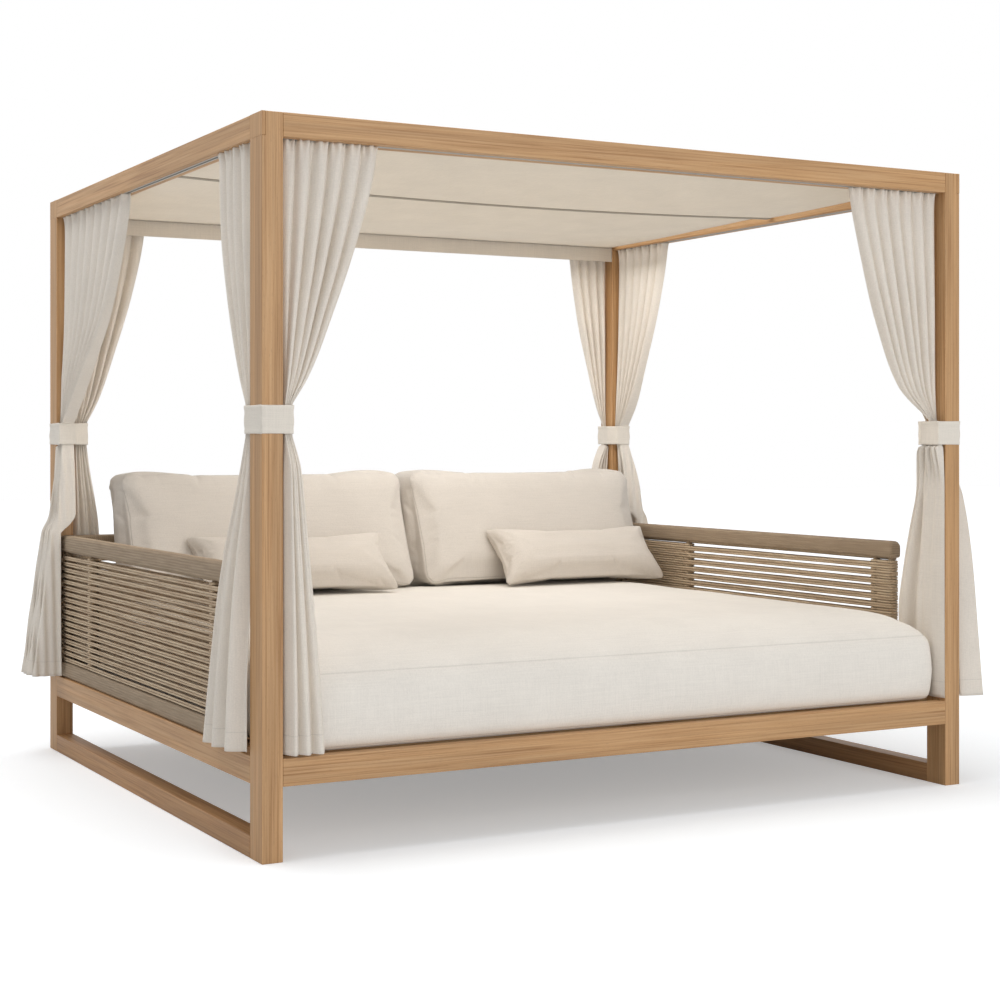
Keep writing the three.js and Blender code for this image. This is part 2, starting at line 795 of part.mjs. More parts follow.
// The middle batten sags across the bed in its sleeve, and the cloth passes under it
function sagAt(across) {
  return canopySag * (1 - across ** 2);
}

function makeSaggedBatten(name, y, under) {
  const end = postInX - seam;
  const steps = 12;
  const shape = new THREE.Shape();
  shape.moveTo(-end, under);
  for (let i = 1; i <= steps; i += 1) {
    const across = (2 * i) / steps - 1;
    shape.lineTo(across * end, under - sagAt(across));
  }
  for (let i = steps; i >= 0; i -= 1) {
    const across = (2 * i) / steps - 1;
    shape.lineTo(across * end, under + middleBattenHigh - sagAt(across));
  }
  shape.closePath();
  const batten = new THREE.ExtrudeGeometry(shape, { depth: battenWide, bevelEnabled: false, steps: 1 });
  return mesh(name, innerWood, batten.rotateX(Math.PI / 2), 0, y + battenWide / 2, 0);
}

function makeCanopy() {
  const canopy = new THREE.Group();
  const end = postInX - seam;
  const front = -postInY + seam;
  const back = postInY - seam - valanceThick - seam;
  const middle = front + battenShare * (back - front);
  const frontUnder = frameHigh - battenDrop - battenHigh;
  const rearUnder = frameHigh - rearBattenDrop - battenHigh;
  const middleUnder = frameHigh - middleBattenDrop - middleBattenHigh;
  const frontDepth = [front, front + battenWide];
  const rearDepth = [back - battenWide, back];
  canopy.add(bar('canopy_batten_front', innerWood, [-end, end], frontDepth, [frontUnder, frontUnder + battenHigh]));
  canopy.add(bar('canopy_batten_rear', innerWood, [-end, end], rearDepth, [rearUnder, rearUnder + battenHigh]));
  canopy.add(makeSaggedBatten('canopy_batten_middle', middle, middleUnder));
  const half = postInX - canopySideGap;
  // Each line across the cloth: its depth, its height at the sides and its share of the sag
  const bayStart = front + battenWide;
  const sleeveFront = middle - battenWide / 2;
  const sleeveBack = middle + battenWide / 2;
  const bayEnd = back - battenWide;
  const foldTop = middleUnder + sleeveFold;
  const inBay = (from, to, high, low, shares) => shares.map(([along, fall, sag]) => [
    mix(from, to, along),
    mix(high, low, fall),
    sag,
  ]);
  const lines = [
    [front + seam, frontUnder, 0],
    [bayStart, frontUnder, 0],
    ...inBay(bayStart, sleeveFront, frontUnder, middleUnder, frontBayShares),
    [sleeveFront, middleUnder, 1],
    [sleeveBack, middleUnder, 1],
    [sleeveBack + battenWide / 2, foldTop, 1],
    ...inBay(sleeveBack, bayEnd, foldTop, rearUnder, rearBayShares),
    [bayEnd, rearUnder, 0],
    [back - seam, rearUnder, 0],
  ];
  const columns = 13;
  const cloth = slab(columns, lines.length, (column, row, side) => {
    const across = (2 * column) / (columns - 1) - 1;
    const [y, level, sagShare] = lines[row];
    const top = level - seam - sagShare * sagAt((across * half) / end);
    return new THREE.Vector3(across * half, y, side > 0 ? top : top - canopyThick);
  });
  canopy.add(mesh('canopy_cloth', canopyLinen, cloth));
  const valanceDepth = [postInY - seam - valanceThick, postInY - seam];
  const valanceZ = [beamUnder + valanceLap - valanceHigh, beamUnder + valanceLap];
  canopy.add(bar('rear_valance', canopyLinen, [-end, end], valanceDepth, valanceZ));
  return canopy;
}

// One section of a gathered curtain: its middle, half width, half depth, turn and height
function foldedSection(x, y, halfU, halfV, turn, z) {
  return { x, y, halfU, halfV, turn, z };
}

function mix(a, b, share) {
  return a + (b - a) * share;
}

function curtainForm(sections, phase) {
  return slab(curtainColumns, sections.length, (column, row, side) => {
    const section = sections[row];
    const across = (2 * column) / (curtainColumns - 1) - 1;
    const atEdge = column === 0 || column === curtainColumns - 1;
    const wave = (column + phase) % 2 === 0 ? 1 : -1;
    const body = atEdge ? edgeFoldShare : 1 - foldDepthShare + side * wave * foldDepthShare;
    const u = across * section.halfU;
    const v = side * body * section.halfV;
    const cos = Math.cos(section.turn);
    const sin = Math.sin(section.turn);
    return new THREE.Vector3(section.x + u * cos - v * sin, section.y + u * sin + v * cos, section.z);
  });
}

// Curtains under the front and back beams, drawn to the inner faces of the posts
function makeCrossCurtain(sx, sy) {
  const key = `${endName(sy)}_${sideName(sx)}`;
  const wide = bundleWide[key];
  const deep = bundleDeep[key];
  const tieUnder = tieMiddle[key] - tieHigh / 2;
  const tieTop = tieMiddle[key] + tieHigh / 2;
  const postEdge = postInX - postClear;
  const bundleX = sx * (postEdge - wide / 2);
  const bundleY = sy * (halfDeep - postClear - deep / 2);
  const headTop = beamUnder - seam;
  const drape = key === 'front_right' ? fullDrapeShares : drapeShares;
  const sections = drape.map(([drop, spread]) => {
    const halfU = mix(wide, headWide[key], spread) / 2;
    const halfV = mix(deep, headDepth, spread) / 2;
    const y = mix(bundleY, sy * trackY, spread);
    return foldedSection(sx * (postEdge - halfU), y, halfU, halfV, 0, mix(headTop, tieTop, drop));
  });
  if (key === 'front_right') {
    // This one falls flat in the narrow gap between the mattress and the inner face of its post
    const halfV = hemDeep[key] / 2;
    const gapX = sx * (mattressHalfWide + postClear + halfV);
    const edgeY = sy * (halfDeep - postClear);
    sections.push(foldedSection(bundleX, bundleY, deep / 2, wide / 2, Math.PI / 2, tieUnder));
    for (const [drop, width] of gapFallShares) {
      const halfU = (width * hemWide[key]) / 2;
      const z = mix(tieUnder, hemZ, drop);
      sections.push(foldedSection(gapX, edgeY - sy * halfU, halfU, halfV, Math.PI / 2, z));
    }
  } else {
    const hemHalf = hemDeep[key] / 2;
    const hemY = sy < 0 ? mattressFront - hemFrontClear - hemHalf : halfDeep - postClear - deep + hemHalf;
    sections.push(foldedSection(bundleX, bundleY, wide / 2, deep / 2, 0, tieUnder));
    for (const [drop, out, , width, depth] of sy < 0 ? frontFallShares : backFallShares) {
      const halfU = (width * hemWide[key]) / 2;
      const halfV = (depth * hemDeep[key]) / 2;
      const y = mix(bundleY, hemY, out);
      sections.push(foldedSection(sx * (postEdge - halfU), y, halfU, halfV, 0, mix(tieUnder, hemZ, drop)));
    }
  }
  return mesh(`curtain_${key}`, curtainLinen, curtainForm(sections, sx < 0 ? 0 : 1));
}

// Curtains under the side beams, drawn to the posts and hanging outside the seat rails below
function makeSideCurtain(sx, sy) {
  const key = `${sideName(sx)}_${endName(sy)}`;
  const postEdge = postInY - postClear;
  const bundleX = halfWide - postClear - sideBundleDeep / 2;
  const post = `${endName(sy)}_${sideName(sx)}`;
  const tieUnder = tieMiddle[post] - tieHigh / 2;
  const tieTop = tieMiddle[post] + tieHigh / 2;
  const headTop = beamUnder - seam;
  const drapes = { left_front: longDrapeShares, left_back: wideDrapeShares };
  const drape = drapes[key] ?? drapeShares;
  const falls = { left_front: longFallShares, right_front: slimFallShares };
  const fall = falls[key] ?? cornerFallShares;
  const sections = drape.map(([drop, spread]) => {
    const halfU = mix(sideBundleWide, headWide[key], spread) / 2;
    const halfV = mix(sideBundleDeep, headDepth, spread) / 2;
    const x = sx * mix(bundleX, trackX, spread);
    return foldedSection(x, sy * (postEdge - halfU), halfU, halfV, Math.PI / 2, mix(headTop, tieTop, drop));
  });
  const bundleY = sy * (postEdge - sideBundleWide / 2);
  const bundleHalf = sideBundleDeep / 2;
  sections.push(foldedSection(sx * bundleX, bundleY, sideBundleWide / 2, bundleHalf, Math.PI / 2, tieUnder));
  for (const [drop, out, past, width, depth] of fall) {
    const near = postEdge + past * hemPast[key];
    const far = postEdge - width * hemWide[key];
    const halfV = (depth * hemDeep[key]) / 2;
    const x = sx * mix(bundleX, halfWide + hemOutClear + halfV, out);
    const y = (sy * (near + far)) / 2;
    sections.push(foldedSection(x, y, (near - far) / 2, halfV, Math.PI / 2, mix(tieUnder, hemZ, drop)));
  }
  return mesh(`curtain_${key}`, curtainLinen, curtainForm(sections, sy < 0 ? 0 : 1));
}

// A band of cloth round the post and its two gathered curtains
function makeTie(sx, sy) {
  const post = `${endName(sy)}_${sideName(sx)}`;
  const inX = postInX - postClear - bundleWide[post];
  const backY = postInY - postClear - sideBundleWide;
  const crossY = halfDeep - postClear - bundleDeep[post];
  const pulleys = [
    [halfWide, halfDeep],
    [inX, halfDeep],
    [inX, crossY],
    [postInX + postClear, backY],
    [halfWide, backY],
  ].map(([x, y]) => new THREE.Vector2(sx * x, sy * y));
  if (THREE.ShapeUtils.area(pulleys) < 0) {
    pulleys.reverse();
  }
  const belt = (radius) => pulleys.flatMap((centre, i) => {
    const before = pulleys[(i + pulleys.length - 1) % pulleys.length];
    const after = pulleys[(i + 1) % pulleys.length];
    const inward = new THREE.Vector2().subVectors(centre, before).angle() - Math.PI / 2;
    let outward = new THREE.Vector2().subVectors(after, centre).angle() - Math.PI / 2;
    outward += outward < inward ? 2 * Math.PI : 0;
    return [0, 0.5, 1].map((share) => {
      const angle = mix(inward, outward, share);
      return new THREE.Vector2(centre.x + radius * Math.cos(angle), centre.y + radius * Math.sin(angle));
    });
  });
  const shape = new THREE.Shape(belt(tieClear + tieThick));
  shape.holes.push(new THREE.Path(belt(tieClear)));
  const band = new THREE.ExtrudeGeometry(shape, { depth: tieHigh, bevelEnabled: false, steps: 1 });
  return mesh(`tie_band_${post}`, linen, band, 0, 0, tieMiddle[post] - tieHigh / 2);
}

function makeCurtains() {
  const curtains = new THREE.Group();
  for (const sx of [-1, 1]) {
    for (const sy of [-1, 1]) {
      curtains.add(makeCrossCurtain(sx, sy), makeSideCurtain(sx, sy), makeTie(sx, sy));
    }
  }
  return curtains;
}

const daybed = new THREE.Group();
daybed.add(makeFrame(), makePlatform(), makePanels(), makeBedding(), makeCanopy(), makeCurtains());

export default daybed;
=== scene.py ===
import math

import bpy
import numpy as np
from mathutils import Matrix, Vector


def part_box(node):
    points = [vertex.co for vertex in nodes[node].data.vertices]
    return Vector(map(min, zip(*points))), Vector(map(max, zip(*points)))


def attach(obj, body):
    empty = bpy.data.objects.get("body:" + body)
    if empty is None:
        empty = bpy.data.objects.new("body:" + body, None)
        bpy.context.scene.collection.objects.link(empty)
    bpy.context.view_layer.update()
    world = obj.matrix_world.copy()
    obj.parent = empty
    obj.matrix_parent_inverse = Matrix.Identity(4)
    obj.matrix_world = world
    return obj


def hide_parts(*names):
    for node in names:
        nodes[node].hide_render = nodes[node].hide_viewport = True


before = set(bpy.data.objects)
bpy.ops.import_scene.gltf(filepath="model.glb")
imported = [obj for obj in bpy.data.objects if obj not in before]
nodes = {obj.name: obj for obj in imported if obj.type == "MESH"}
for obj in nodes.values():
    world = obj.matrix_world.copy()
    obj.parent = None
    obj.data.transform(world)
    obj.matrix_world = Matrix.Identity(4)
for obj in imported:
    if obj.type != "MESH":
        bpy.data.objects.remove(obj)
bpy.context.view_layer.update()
scene = bpy.context.scene
scene.view_settings.view_transform = "Standard"

# View
# The photograph was taken from the front left corner, a little over a metre above the ground. The
# lens looks straight ahead, and its shift brings the whole daybed into the frame.
lens = bpy.data.cameras.new("photograph_view")
lens.sensor_width = 36
lens.lens = 66.38
lens.shift_y = -0.0567
camera = bpy.data.objects.new("photograph_view", lens)
camera.location = (-2.989, -5.664, 1.117)
camera.rotation_euler = (math.radians(90), 0, math.radians(-28.47))
scene.collection.objects.link(camera)
scene.camera = camera


# Timber frame
# Posts, top beams, seat rails and ground runners: planed teak with eased edges, oiled to a satin
# finish. The boards are joined end to face, and the cover plates close the bolted top corners.
def linear(colour):
    """A hex colour as Blender's linear numbers."""
    parts = [int(colour[i : i + 2], 16) / 255 for i in (1, 3, 5)]
    return [p / 12.92 if p <= 0.04045 else ((p + 0.055) / 1.055) ** 2.4 for p in parts] + [1]


def put(material, kind, inputs=None, **settings):
    """Adds a shader node, with the numbers or links of its sockets and with its settings. Sockets
    that share a name go by number: a map range runs from 1 and 2 to 3 and 4, and a mix of colours
    has its share at 0 and its colours at 6 and 7."""
    made = material.node_tree.nodes.new("ShaderNode" + kind)
    for name, value in settings.items():
        setattr(made, name, value)
    for name, value in (inputs or {}).items():
        if isinstance(value, bpy.types.NodeSocket):
            material.node_tree.links.new(value, made.inputs[name])
        else:
            made.inputs[name].default_value = value
    return made


def finish_named(name, **sockets):
    """A material with one Principled shader, and the numbers that are the same all over it."""
    material = bpy.data.materials.new(name)
    material.use_nodes = True
    shader = material.node_tree.nodes["Principled BSDF"]
    for socket, value in sockets.items():
        shader.inputs[socket.replace("_", " ")].default_value = value
    return material, shader


def in_millimetres(material, x, y, z, offset=None):
    """Object coordinates divided by a pattern's size along each axis, in millimetres."""
    place = put(material, "TexCoord").outputs["Object"]
    if offset is not None:
        place = put(material, "VectorMath", {0: place, 1: offset}, operation="ADD").outputs[0]
    scale = [1000 / x, 1000 / y, 1000 / z]
    return put(material, "VectorMath", {0: place, 1: scale}, operation="MULTIPLY").outputs[0]


def teak(name, along, pale, heart, line, roughness=0.5):
    """Planed teak. Its growth lines are about 5 mm apart and run for some 40 cm, its tone drifts
    in streaks some 4 cm wide, and short dark pores speckle the satin oil."""
    wood, shader = finish_named(name, Roughness=roughness, IOR=1.5)
    board = put(wood, "ObjectInfo").outputs["Random"]
    board = put(wood, "Math", {0: board, 1: 7.0}, operation="MULTIPLY").outputs[0]

    def stretched(length, width, **noise):
        sizes = [length if axis == along else width for axis in "xyz"]
        place = in_millimetres(wood, *sizes, offset=board)
        return put(wood, "TexNoise", {"Vector": place, "Scale": 1.0, **noise}).outputs["Fac"]

    lines = stretched(420, 5.5, Detail=4.0, Roughness=0.62, Distortion=0.35)
    drift = stretched(900, 38, Detail=2.0, Roughness=0.5, Distortion=0.6)
    pores = stretched(16, 1.6, Detail=1.0)
    ramp = put(wood, "ValToRGB", {"Fac": lines})
    ramp.color_ramp.elements[0].position, ramp.color_ramp.elements[0].color = 0.32, linear(line)
    ramp.color_ramp.elements[1].position, ramp.color_ramp.elements[1].color = 0.66, linear(pale)
    ramp.color_ramp.elements.new(0.47).color = linear(heart)
    tone = put(wood, "MapRange", {"Value": drift, 1: 0.3, 2: 0.7, 3: 0.86, 4: 1.1}).outputs[0]
    dark = put(wood, "MapRange", {"Value": pores, 1: 0.28, 2: 0.36, 3: 0.86, 4: 1.0}).outputs[0]
    tone = put(wood, "Math", {0: tone, 1: dark}, operation="MULTIPLY").outputs[0]
    layers = {0: 1.0, 6: ramp.outputs["Color"], 7: tone}
    board_colour = put(wood, "Mix", layers, data_type="RGBA", blend_type="MULTIPLY").outputs[2]
    bump = put(wood, "Bump", {"Height": lines, "Strength": 0.25, "Distance": 0.0006})
    wood.node_tree.links.new(board_colour, shader.inputs["Base Color"])
    wood.node_tree.links.new(bump.outputs[0], shader.inputs["Normal"])
    return wood


def finished(piece, material):
    """Puts a finish on a piece, in place of the one it had."""
    piece.data.materials.clear()
    piece.data.materials.append(material)


def eased(name, material, radius):
    """Gives a CAD board its material and the small rounding that a router leaves on its edges."""
    board = nodes[name]
    finished(board, material)
    weld = board.modifiers.new("weld", "WELD")
    weld.merge_threshold = 0.00005
    rounding = board.modifiers.new("eased_edges", "BEVEL")
    rounding.width = radius / 1000
    rounding.segments = 3
    rounding.limit_method = "ANGLE"
    rounding.angle_limit = math.radians(50)
    board.modifiers.new("flat_faces", "WEIGHTED_NORMAL")


oiled = ("#cba275", "#be9263", "#a5784b")
across_oiled = teak("oiled_teak_across", "x", *oiled)
deep_oiled = teak("oiled_teak_deep", "y", *oiled)
upright_oiled = teak("oiled_teak_upright", "z", *oiled)
# The runners are coloured darker and redder than the rest of the frame
ground_oiled = teak("oiled_teak_ground", "y", "#bb9063", "#ad8154", "#94683e")
for end in ("front", "back"):
    eased(f"beam_{end}", across_oiled, 2.0)
    eased(f"seat_rail_{end}", across_oiled, 2.0)
    for side in ("left", "right"):
        eased(f"post_{end}_{side}", upright_oiled, 2.0)
        eased(f"cover_plate_{end}_{side}", upright_oiled, 1.2)
for side in ("left", "right"):
    eased(f"beam_{side}", deep_oiled, 2.0)
    eased(f"seat_rail_{side}", deep_oiled, 2.0)
    eased(f"runner_{side}", ground_oiled, 2.5)

# Top joint bolts
# A zinc-plated steel bolt goes through each post into the cross beam behind the cover plate. Only
# its round head shows, and only where the plate is off.
zinc, zinc_shader = finish_named("zinc_plated_steel", Metallic=1.0)
grain = put(zinc, "TexNoise", {"Vector": in_millimetres(zinc, 6, 6, 6), "Scale": 1.0, "Detail": 3.0})
spangle = put(zinc, "MapRange", {"Value": grain.outputs["Fac"], 3: 0.28, 4: 0.42})
zinc.node_tree.links.new(spangle.outputs[0], zinc_shader.inputs["Roughness"])
zinc_shader.inputs["Base Color"].default_value = linear("#b4b6b7")
for end in ("front", "back"):
    for side in ("left", "right"):
        finished(nodes[f"beam_bolt_{end}_{side}"], zinc)

# Curtain tracks
# Extruded aluminium channels, anodised a matt silver and let into the beams. The draw of the die
# leaves fine lines along them.
for axis, members in (("x", ("front", "back")), ("y", ("left", "right"))):
    drawn, drawn_shader = finish_named(f"anodised_aluminium_{axis}", Metallic=1.0)
    drawn_shader.inputs["Base Color"].default_value = linear("#c9c6bf")
    sizes = (200, 1.5, 1.5) if axis == "x" else (1.5, 200, 1.5)
    lines = put(drawn, "TexNoise", {"Vector": in_millimetres(drawn, *sizes), "Scale": 1.0})
    matt = put(drawn, "MapRange", {"Value": lines.outputs["Fac"], 3: 0.34, 4: 0.5})
    drawn.node_tree.links.new(matt.outputs[0], drawn_shader.inputs["Roughness"])
    for side in members:
        finished(nodes[f"track_{side}"], drawn)

# Platform and battens
# The mattress lies on a panel of sawn and sanded slats, on two ledgers and a bearer. This inner
# wood is left dry, so it is paler and duller than the oiled frame. The canopy battens match it.
dry = ("#cbab84", "#bd9a70", "#a58158")
across_dry = teak("dry_wood_across", "x", *dry, roughness=0.72)
deep_dry = teak("dry_wood_deep", "y", *dry, roughness=0.72)
for name in ("slat_panel", "canopy_batten_front", "canopy_batten_middle", "canopy_batten_rear"):
    eased(name, across_dry, 1.5)
for name in ("ledger_left", "ledger_right", "middle_bearer"):
    eased(name, deep_dry, 1.5)


# Wrapped arm and back frames
# Each arm, and the back, is a welded frame of flat oval tubes, bound all round with one flat
# taupe cord. The turns lie side by side, so the tube shows fine ribs across it.
def new_piece(name, points, faces):
    """A smooth new piece from its points and faces."""
    data = bpy.data.meshes.new(name)
    data.from_pydata(points, [], faces)
    data.shade_smooth()
    made = bpy.data.objects.new(name, data)
    scene.collection.objects.link(made)
    return made


def skin(name, rings, round_closed=True, long_closed=False, capped=True):
    """A smooth surface over rings of points; a capped tube has a fan over each end."""
    rings = np.asarray(rings, float)
    count, sides = rings.shape[:2]
    at = np.arange(count * sides).reshape(count, sides)
    down = np.roll(at, -1, axis=0) if long_closed else at
    low, high = (at, down) if long_closed else (at[:-1], at[1:])
    if round_closed:
        quads = np.stack([low, np.roll(low, -1, 1), np.roll(high, -1, 1), high], axis=-1)
    else:
        quads = np.stack([low[:, :-1], low[:, 1:], high[:, 1:], high[:, :-1]], axis=-1)
    points, faces = rings.reshape(-1, 3), quads.reshape(-1, 4).tolist()
    if capped and round_closed and not long_closed:
        points = np.vstack([points, rings[0].mean(0), rings[-1].mean(0)])
        first, last = len(points) - 2, len(points) - 1
        for i in range(sides):
            j = (i + 1) % sides
            faces += [[first, int(at[0, j]), int(at[0, i])], [last, int(at[-1, i]), int(at[-1, j])]]
    return new_piece(name, points.tolist(), faces)


def dressed(piece, body, slot, material, *stands_for):
    """Puts a new piece on its body, in place of its CAD nodes and in its material."""
    finished(piece, material)
    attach(piece, body)
    if stands_for:
        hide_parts(*stands_for)


def joined(name, pieces):
    """Several new pieces as one mesh."""
    points, faces, start = [], [], 0
    for piece in pieces:
        points += [tuple(v.co) for v in piece.data.vertices]
        faces += [[start + i for i in p.vertices] for p in piece.data.polygons]
        start = len(points)
        bpy.data.objects.remove(piece)
    return new_piece(name, points, faces)


def taupe_cord(name, colour, streak, pitch, along, deep=0.82):
    """Braided outdoor cord in a matt taupe yarn. The plies cross it at a slant every few
    millimetres, the grooves between them are painted darker as shade, and sun and wear leave it
    streaked."""
    cord, shader = finish_named(name, Roughness=0.85, IOR=1.46, Sheen_Weight=0.12)
    sizes = [120 if axis == along else 5 for axis in "xyz"]
    noise = {"Vector": in_millimetres(cord, *sizes), "Scale": 1.0, "Detail": 3.0, "Roughness": 0.65}
    streaks = put(cord, "TexNoise", noise).outputs["Fac"]
    noise = {"Vector": in_millimetres(cord, 2.5, 2.5, 2.5), "Scale": 1.0, "Detail": 2.0}
    fibres = put(cord, "TexNoise", noise).outputs["Fac"]
    slant = [1.0, 0.0, 0.9] if along == "x" else [0.0, 1.0, 0.9]
    place = put(cord, "TexCoord").outputs["Object"]
    run = put(cord, "VectorMath", {0: place, 1: slant}, operation="DOT_PRODUCT").outputs["Value"]
    turns = put(cord, "Math", {0: run, 1: 2000 * math.pi / pitch}, operation="MULTIPLY").outputs[0]
    plies = put(cord, "Math", {0: turns}, operation="SINE").outputs[0]
    share = put(cord, "MapRange", {"Value": streaks, 1: 0.33, 2: 0.68}).outputs[0]
    layers = {0: share, 6: linear(colour), 7: linear(streak)}
    yarn = put(cord, "Mix", layers, data_type="RGBA").outputs[2]
    # Painted shade: the plies' wave darkens the yarn colour in the grooves between them, down to deep
    shade = put(cord, "MapRange", {"Value": plies, 1: -1.0, 2: 1.0, 3: deep, 4: 1.06}).outputs[0]
    layers = {0: 1.0, 6: yarn, 7: shade}
    yarn = put(cord, "Mix", layers, data_type="RGBA", blend_type="MULTIPLY").outputs[2]
    height = put(cord, "Math", {0: fibres, 1: 0.7, 2: plies}, operation="MULTIPLY_ADD").outputs[0]
    bump = put(cord, "Bump", {"Height": height, "Strength": 0.5, "Distance": 0.0006})
    cord.node_tree.links.new(yarn, shader.inputs["Base Color"])
    cord.node_tree.links.new(bump.outputs[0], shader.inputs["Normal"])
    return cord


wrap_pitch, rib_deep = 0.0075, 0.0012
tube_high, arm_end_radius = 0.058, 0.022
end_squeeze, squeeze_length = 0.25, 0.006
corner_power = 0.42
upright_radius, upright_rib_deep = 0.0125, 0.001
upright_let_in = 0.006
binding_slack, tube_past_upright = 0.0005, 0.009
# Where the two inner uprights stand, as shares of the panel's length
panels = {
    "arm_left": {"along": "y", "shares": (0.087, 0.806)},
    "arm_right": {"along": "y", "shares": (0.058, 0.72)},
    "back": {"along": "x", "shares": (0.34, 0.66)},
}


def on_axis(along, run, aside, z):
    """A point by its distance along a panel, aside from it and its height."""
    return (run, aside, z) if along == "x" else (aside, run, z)


def wrapped_tube(along, start, end, aside, wide, under, over, rounded):
    """A bound tube from start to end. A rounded one falls away over its two end corners."""
    rings, sides = [], 24
    for run in np.arange(start + binding_slack, end, wrap_pitch / 4):
        rib = rib_deep * (1 - abs(math.sin(math.pi * (run - start) / wrap_pitch)))
        from_end = min(run - start, end - run)
        into_corner = max(arm_end_radius - from_end, 0)
        drop = arm_end_radius - math.sqrt(max(arm_end_radius**2 - into_corner**2, 0))
        fall = drop if rounded else 0
        squeeze = 1 - end_squeeze * max(0, 1 - from_end / squeeze_length) ** 2
        top, middle = over - fall, (under + over - fall) / 2
        half_high, half_wide = (top - under) / 2 * squeeze - rib, wide / 2 * squeeze - rib
        ring = []
        for k in range(sides):
            angle = 2 * math.pi * k / sides
            c, s = math.cos(angle), math.sin(angle)
            sideways = half_wide * math.copysign(abs(c) ** corner_power, c)
            upwards = half_high * math.copysign(abs(s) ** corner_power, s)
            ring.append(on_axis(along, run, aside + sideways, middle + upwards))
        rings.append(ring)
    return skin("tube", rings)


def bound_upright(along, run, aside, low, high):
    """A round upright of the frame, bound like the tubes."""
    rings, sides = [], 14
    angles = 2 * math.pi * np.arange(sides) / sides
    for z in np.arange(low, high, wrap_pitch / 4):
        rib = upright_rib_deep * (1 - abs(math.sin(math.pi * (z - low) / wrap_pitch)))
        radius = upright_radius - rib
        ring = [(run + radius * math.cos(a), aside + radius * math.sin(a), z) for a in angles]
        rings.append([on_axis(along, *point) for point in ring])
    return skin("upright", rings)


wrap_finish = {
    "x": taupe_cord("taupe_binding_across", "#99846b", "#b09a80", wrap_pitch * 1000, "x", deep=0.74),
    "y": taupe_cord("taupe_binding_deep", "#99846b", "#b09a80", wrap_pitch * 1000, "y", deep=0.74),
}
for panel, facts in panels.items():
    along = facts["along"]
    low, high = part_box(f"{panel}_frame")
    axis = "xy".index(along)
    start, end, aside = low[axis], high[axis], (low[1 - axis] + high[1 - axis]) / 2
    wide = high[1 - axis] - low[1 - axis]
    inset = upright_radius + binding_slack + tube_past_upright
    places = [start + inset, *(start + s * (end - start) for s in facts["shares"]), end - inset]
    facts.update(start=start, end=end, aside=aside, places=places)
    bottom, top = low[2], high[2]
    pieces = [
        wrapped_tube(along, start, end, aside, wide, bottom, bottom + tube_high, rounded=False),
        wrapped_tube(along, start, end, aside, wide, top - tube_high, top, rounded=True),
    ]
    foot, head = bottom + tube_high - upright_let_in, top - tube_high + upright_let_in
    pieces += [bound_upright(along, run, aside, foot, head) for run in places]
    bound = joined(f"{panel}_bound_frame", pieces)
    dressed(bound, "bedstead", "wrapped_frame", wrap_finish[along], f"{panel}_frame")

# Rope windings
# One doubled rope goes round the end uprights of each frame in even turns. Short lashings grip
# the runs where they pass an upright, and both ends of the right arm are wound closer.
rope_turns = {"arm_left": (18, 0.0035), "arm_right": (14, 0.0044), "back": (13, 0.0043)}
run_aside, bend_inset = 0.0175, 0.0045
first_course_lift, last_course_drop = 0.0085, 0.007
lash_radius, lash_half_wide, wide_lash_gap, last_lash_gap = 0.0042, 0.001, 0.03, 0.036
closing_cord_radius, closing_cord_lift, closing_cord_inset = 0.0055, 0.002, 0.02
run_points, bend_points = 26, 9
waver_deep, evened_over = 0.0009, 5
unevenness = np.random.default_rng(7)


def tube_along(path, radius, sides=8, long_closed=False):
    """A round strand on a path of level runs and bends."""
    path = np.asarray(path, float)
    if long_closed:
        ahead = np.roll(path, -1, 0) - np.roll(path, 1, 0)
    else:
        ahead = np.gradient(path, axis=0)
    ahead /= np.linalg.norm(ahead, axis=1)[:, None]
    outward = np.stack([ahead[:, 1], -ahead[:, 0], np.zeros(len(path))], axis=1)
    outward /= np.maximum(np.linalg.norm(outward, axis=1), 1e-9)[:, None]
    up = np.cross(outward, ahead)
    angles = (2 * math.pi * np.arange(sides) / sides)[None, :, None]
    rings = path[:, None] + radius * (np.cos(angles) * outward[:, None] + np.sin(angles) * up[:, None])
    return skin("strand", rings, long_closed=long_closed)


def winding_path(start, end, first_level, pitch, count):
    """Runs, aside distances and heights of the whole winding, from its first turn to its last."""
    half, middle = (end - start) / 2 - run_aside - bend_inset, (start + end) / 2
    run_shares = np.linspace(0, 1, run_points)[:-1]
    bend_shares = np.linspace(0, 1, bend_points)[:-1]
    path = []
    for turn in range(count):
        level = first_level + turn * pitch
        for share in run_shares:
            path.append((middle - half + 2 * half * share, -run_aside, level))
        for share in bend_shares:
            angle = -math.pi / 2 + math.pi * share
            run, across = middle + half + run_aside * math.cos(angle), run_aside * math.sin(angle)
            path.append((run, across, level + pitch * share))
        for share in run_shares:
            path.append((middle + half - 2 * half * share, run_aside, level + pitch))
        if turn < count - 1:
            for share in bend_shares:
                angle = math.pi / 2 + math.pi * share
                run, across = middle - half + run_aside * math.cos(angle), run_aside * math.sin(angle)
                path.append((run, across, level + pitch))
    path.append((middle - half, run_aside, first_level + count * pitch))
    return path


def lashing(along, first, last, aside, level):
    """A closed turn of cord round one upright, or round two that stand close together."""
    reach = upright_radius + lash_radius
    path = []
    for centre, turned in ((last, -0.5), (first, 0.5)):
        for share in np.linspace(0, 1, 10):
            angle = math.pi * (turned + share)
            run, across = centre + reach * math.cos(angle), aside + reach * math.sin(angle)
            path.append(on_axis(along, run, across, level))
    return tube_along(path, lash_radius, 7, long_closed=True)


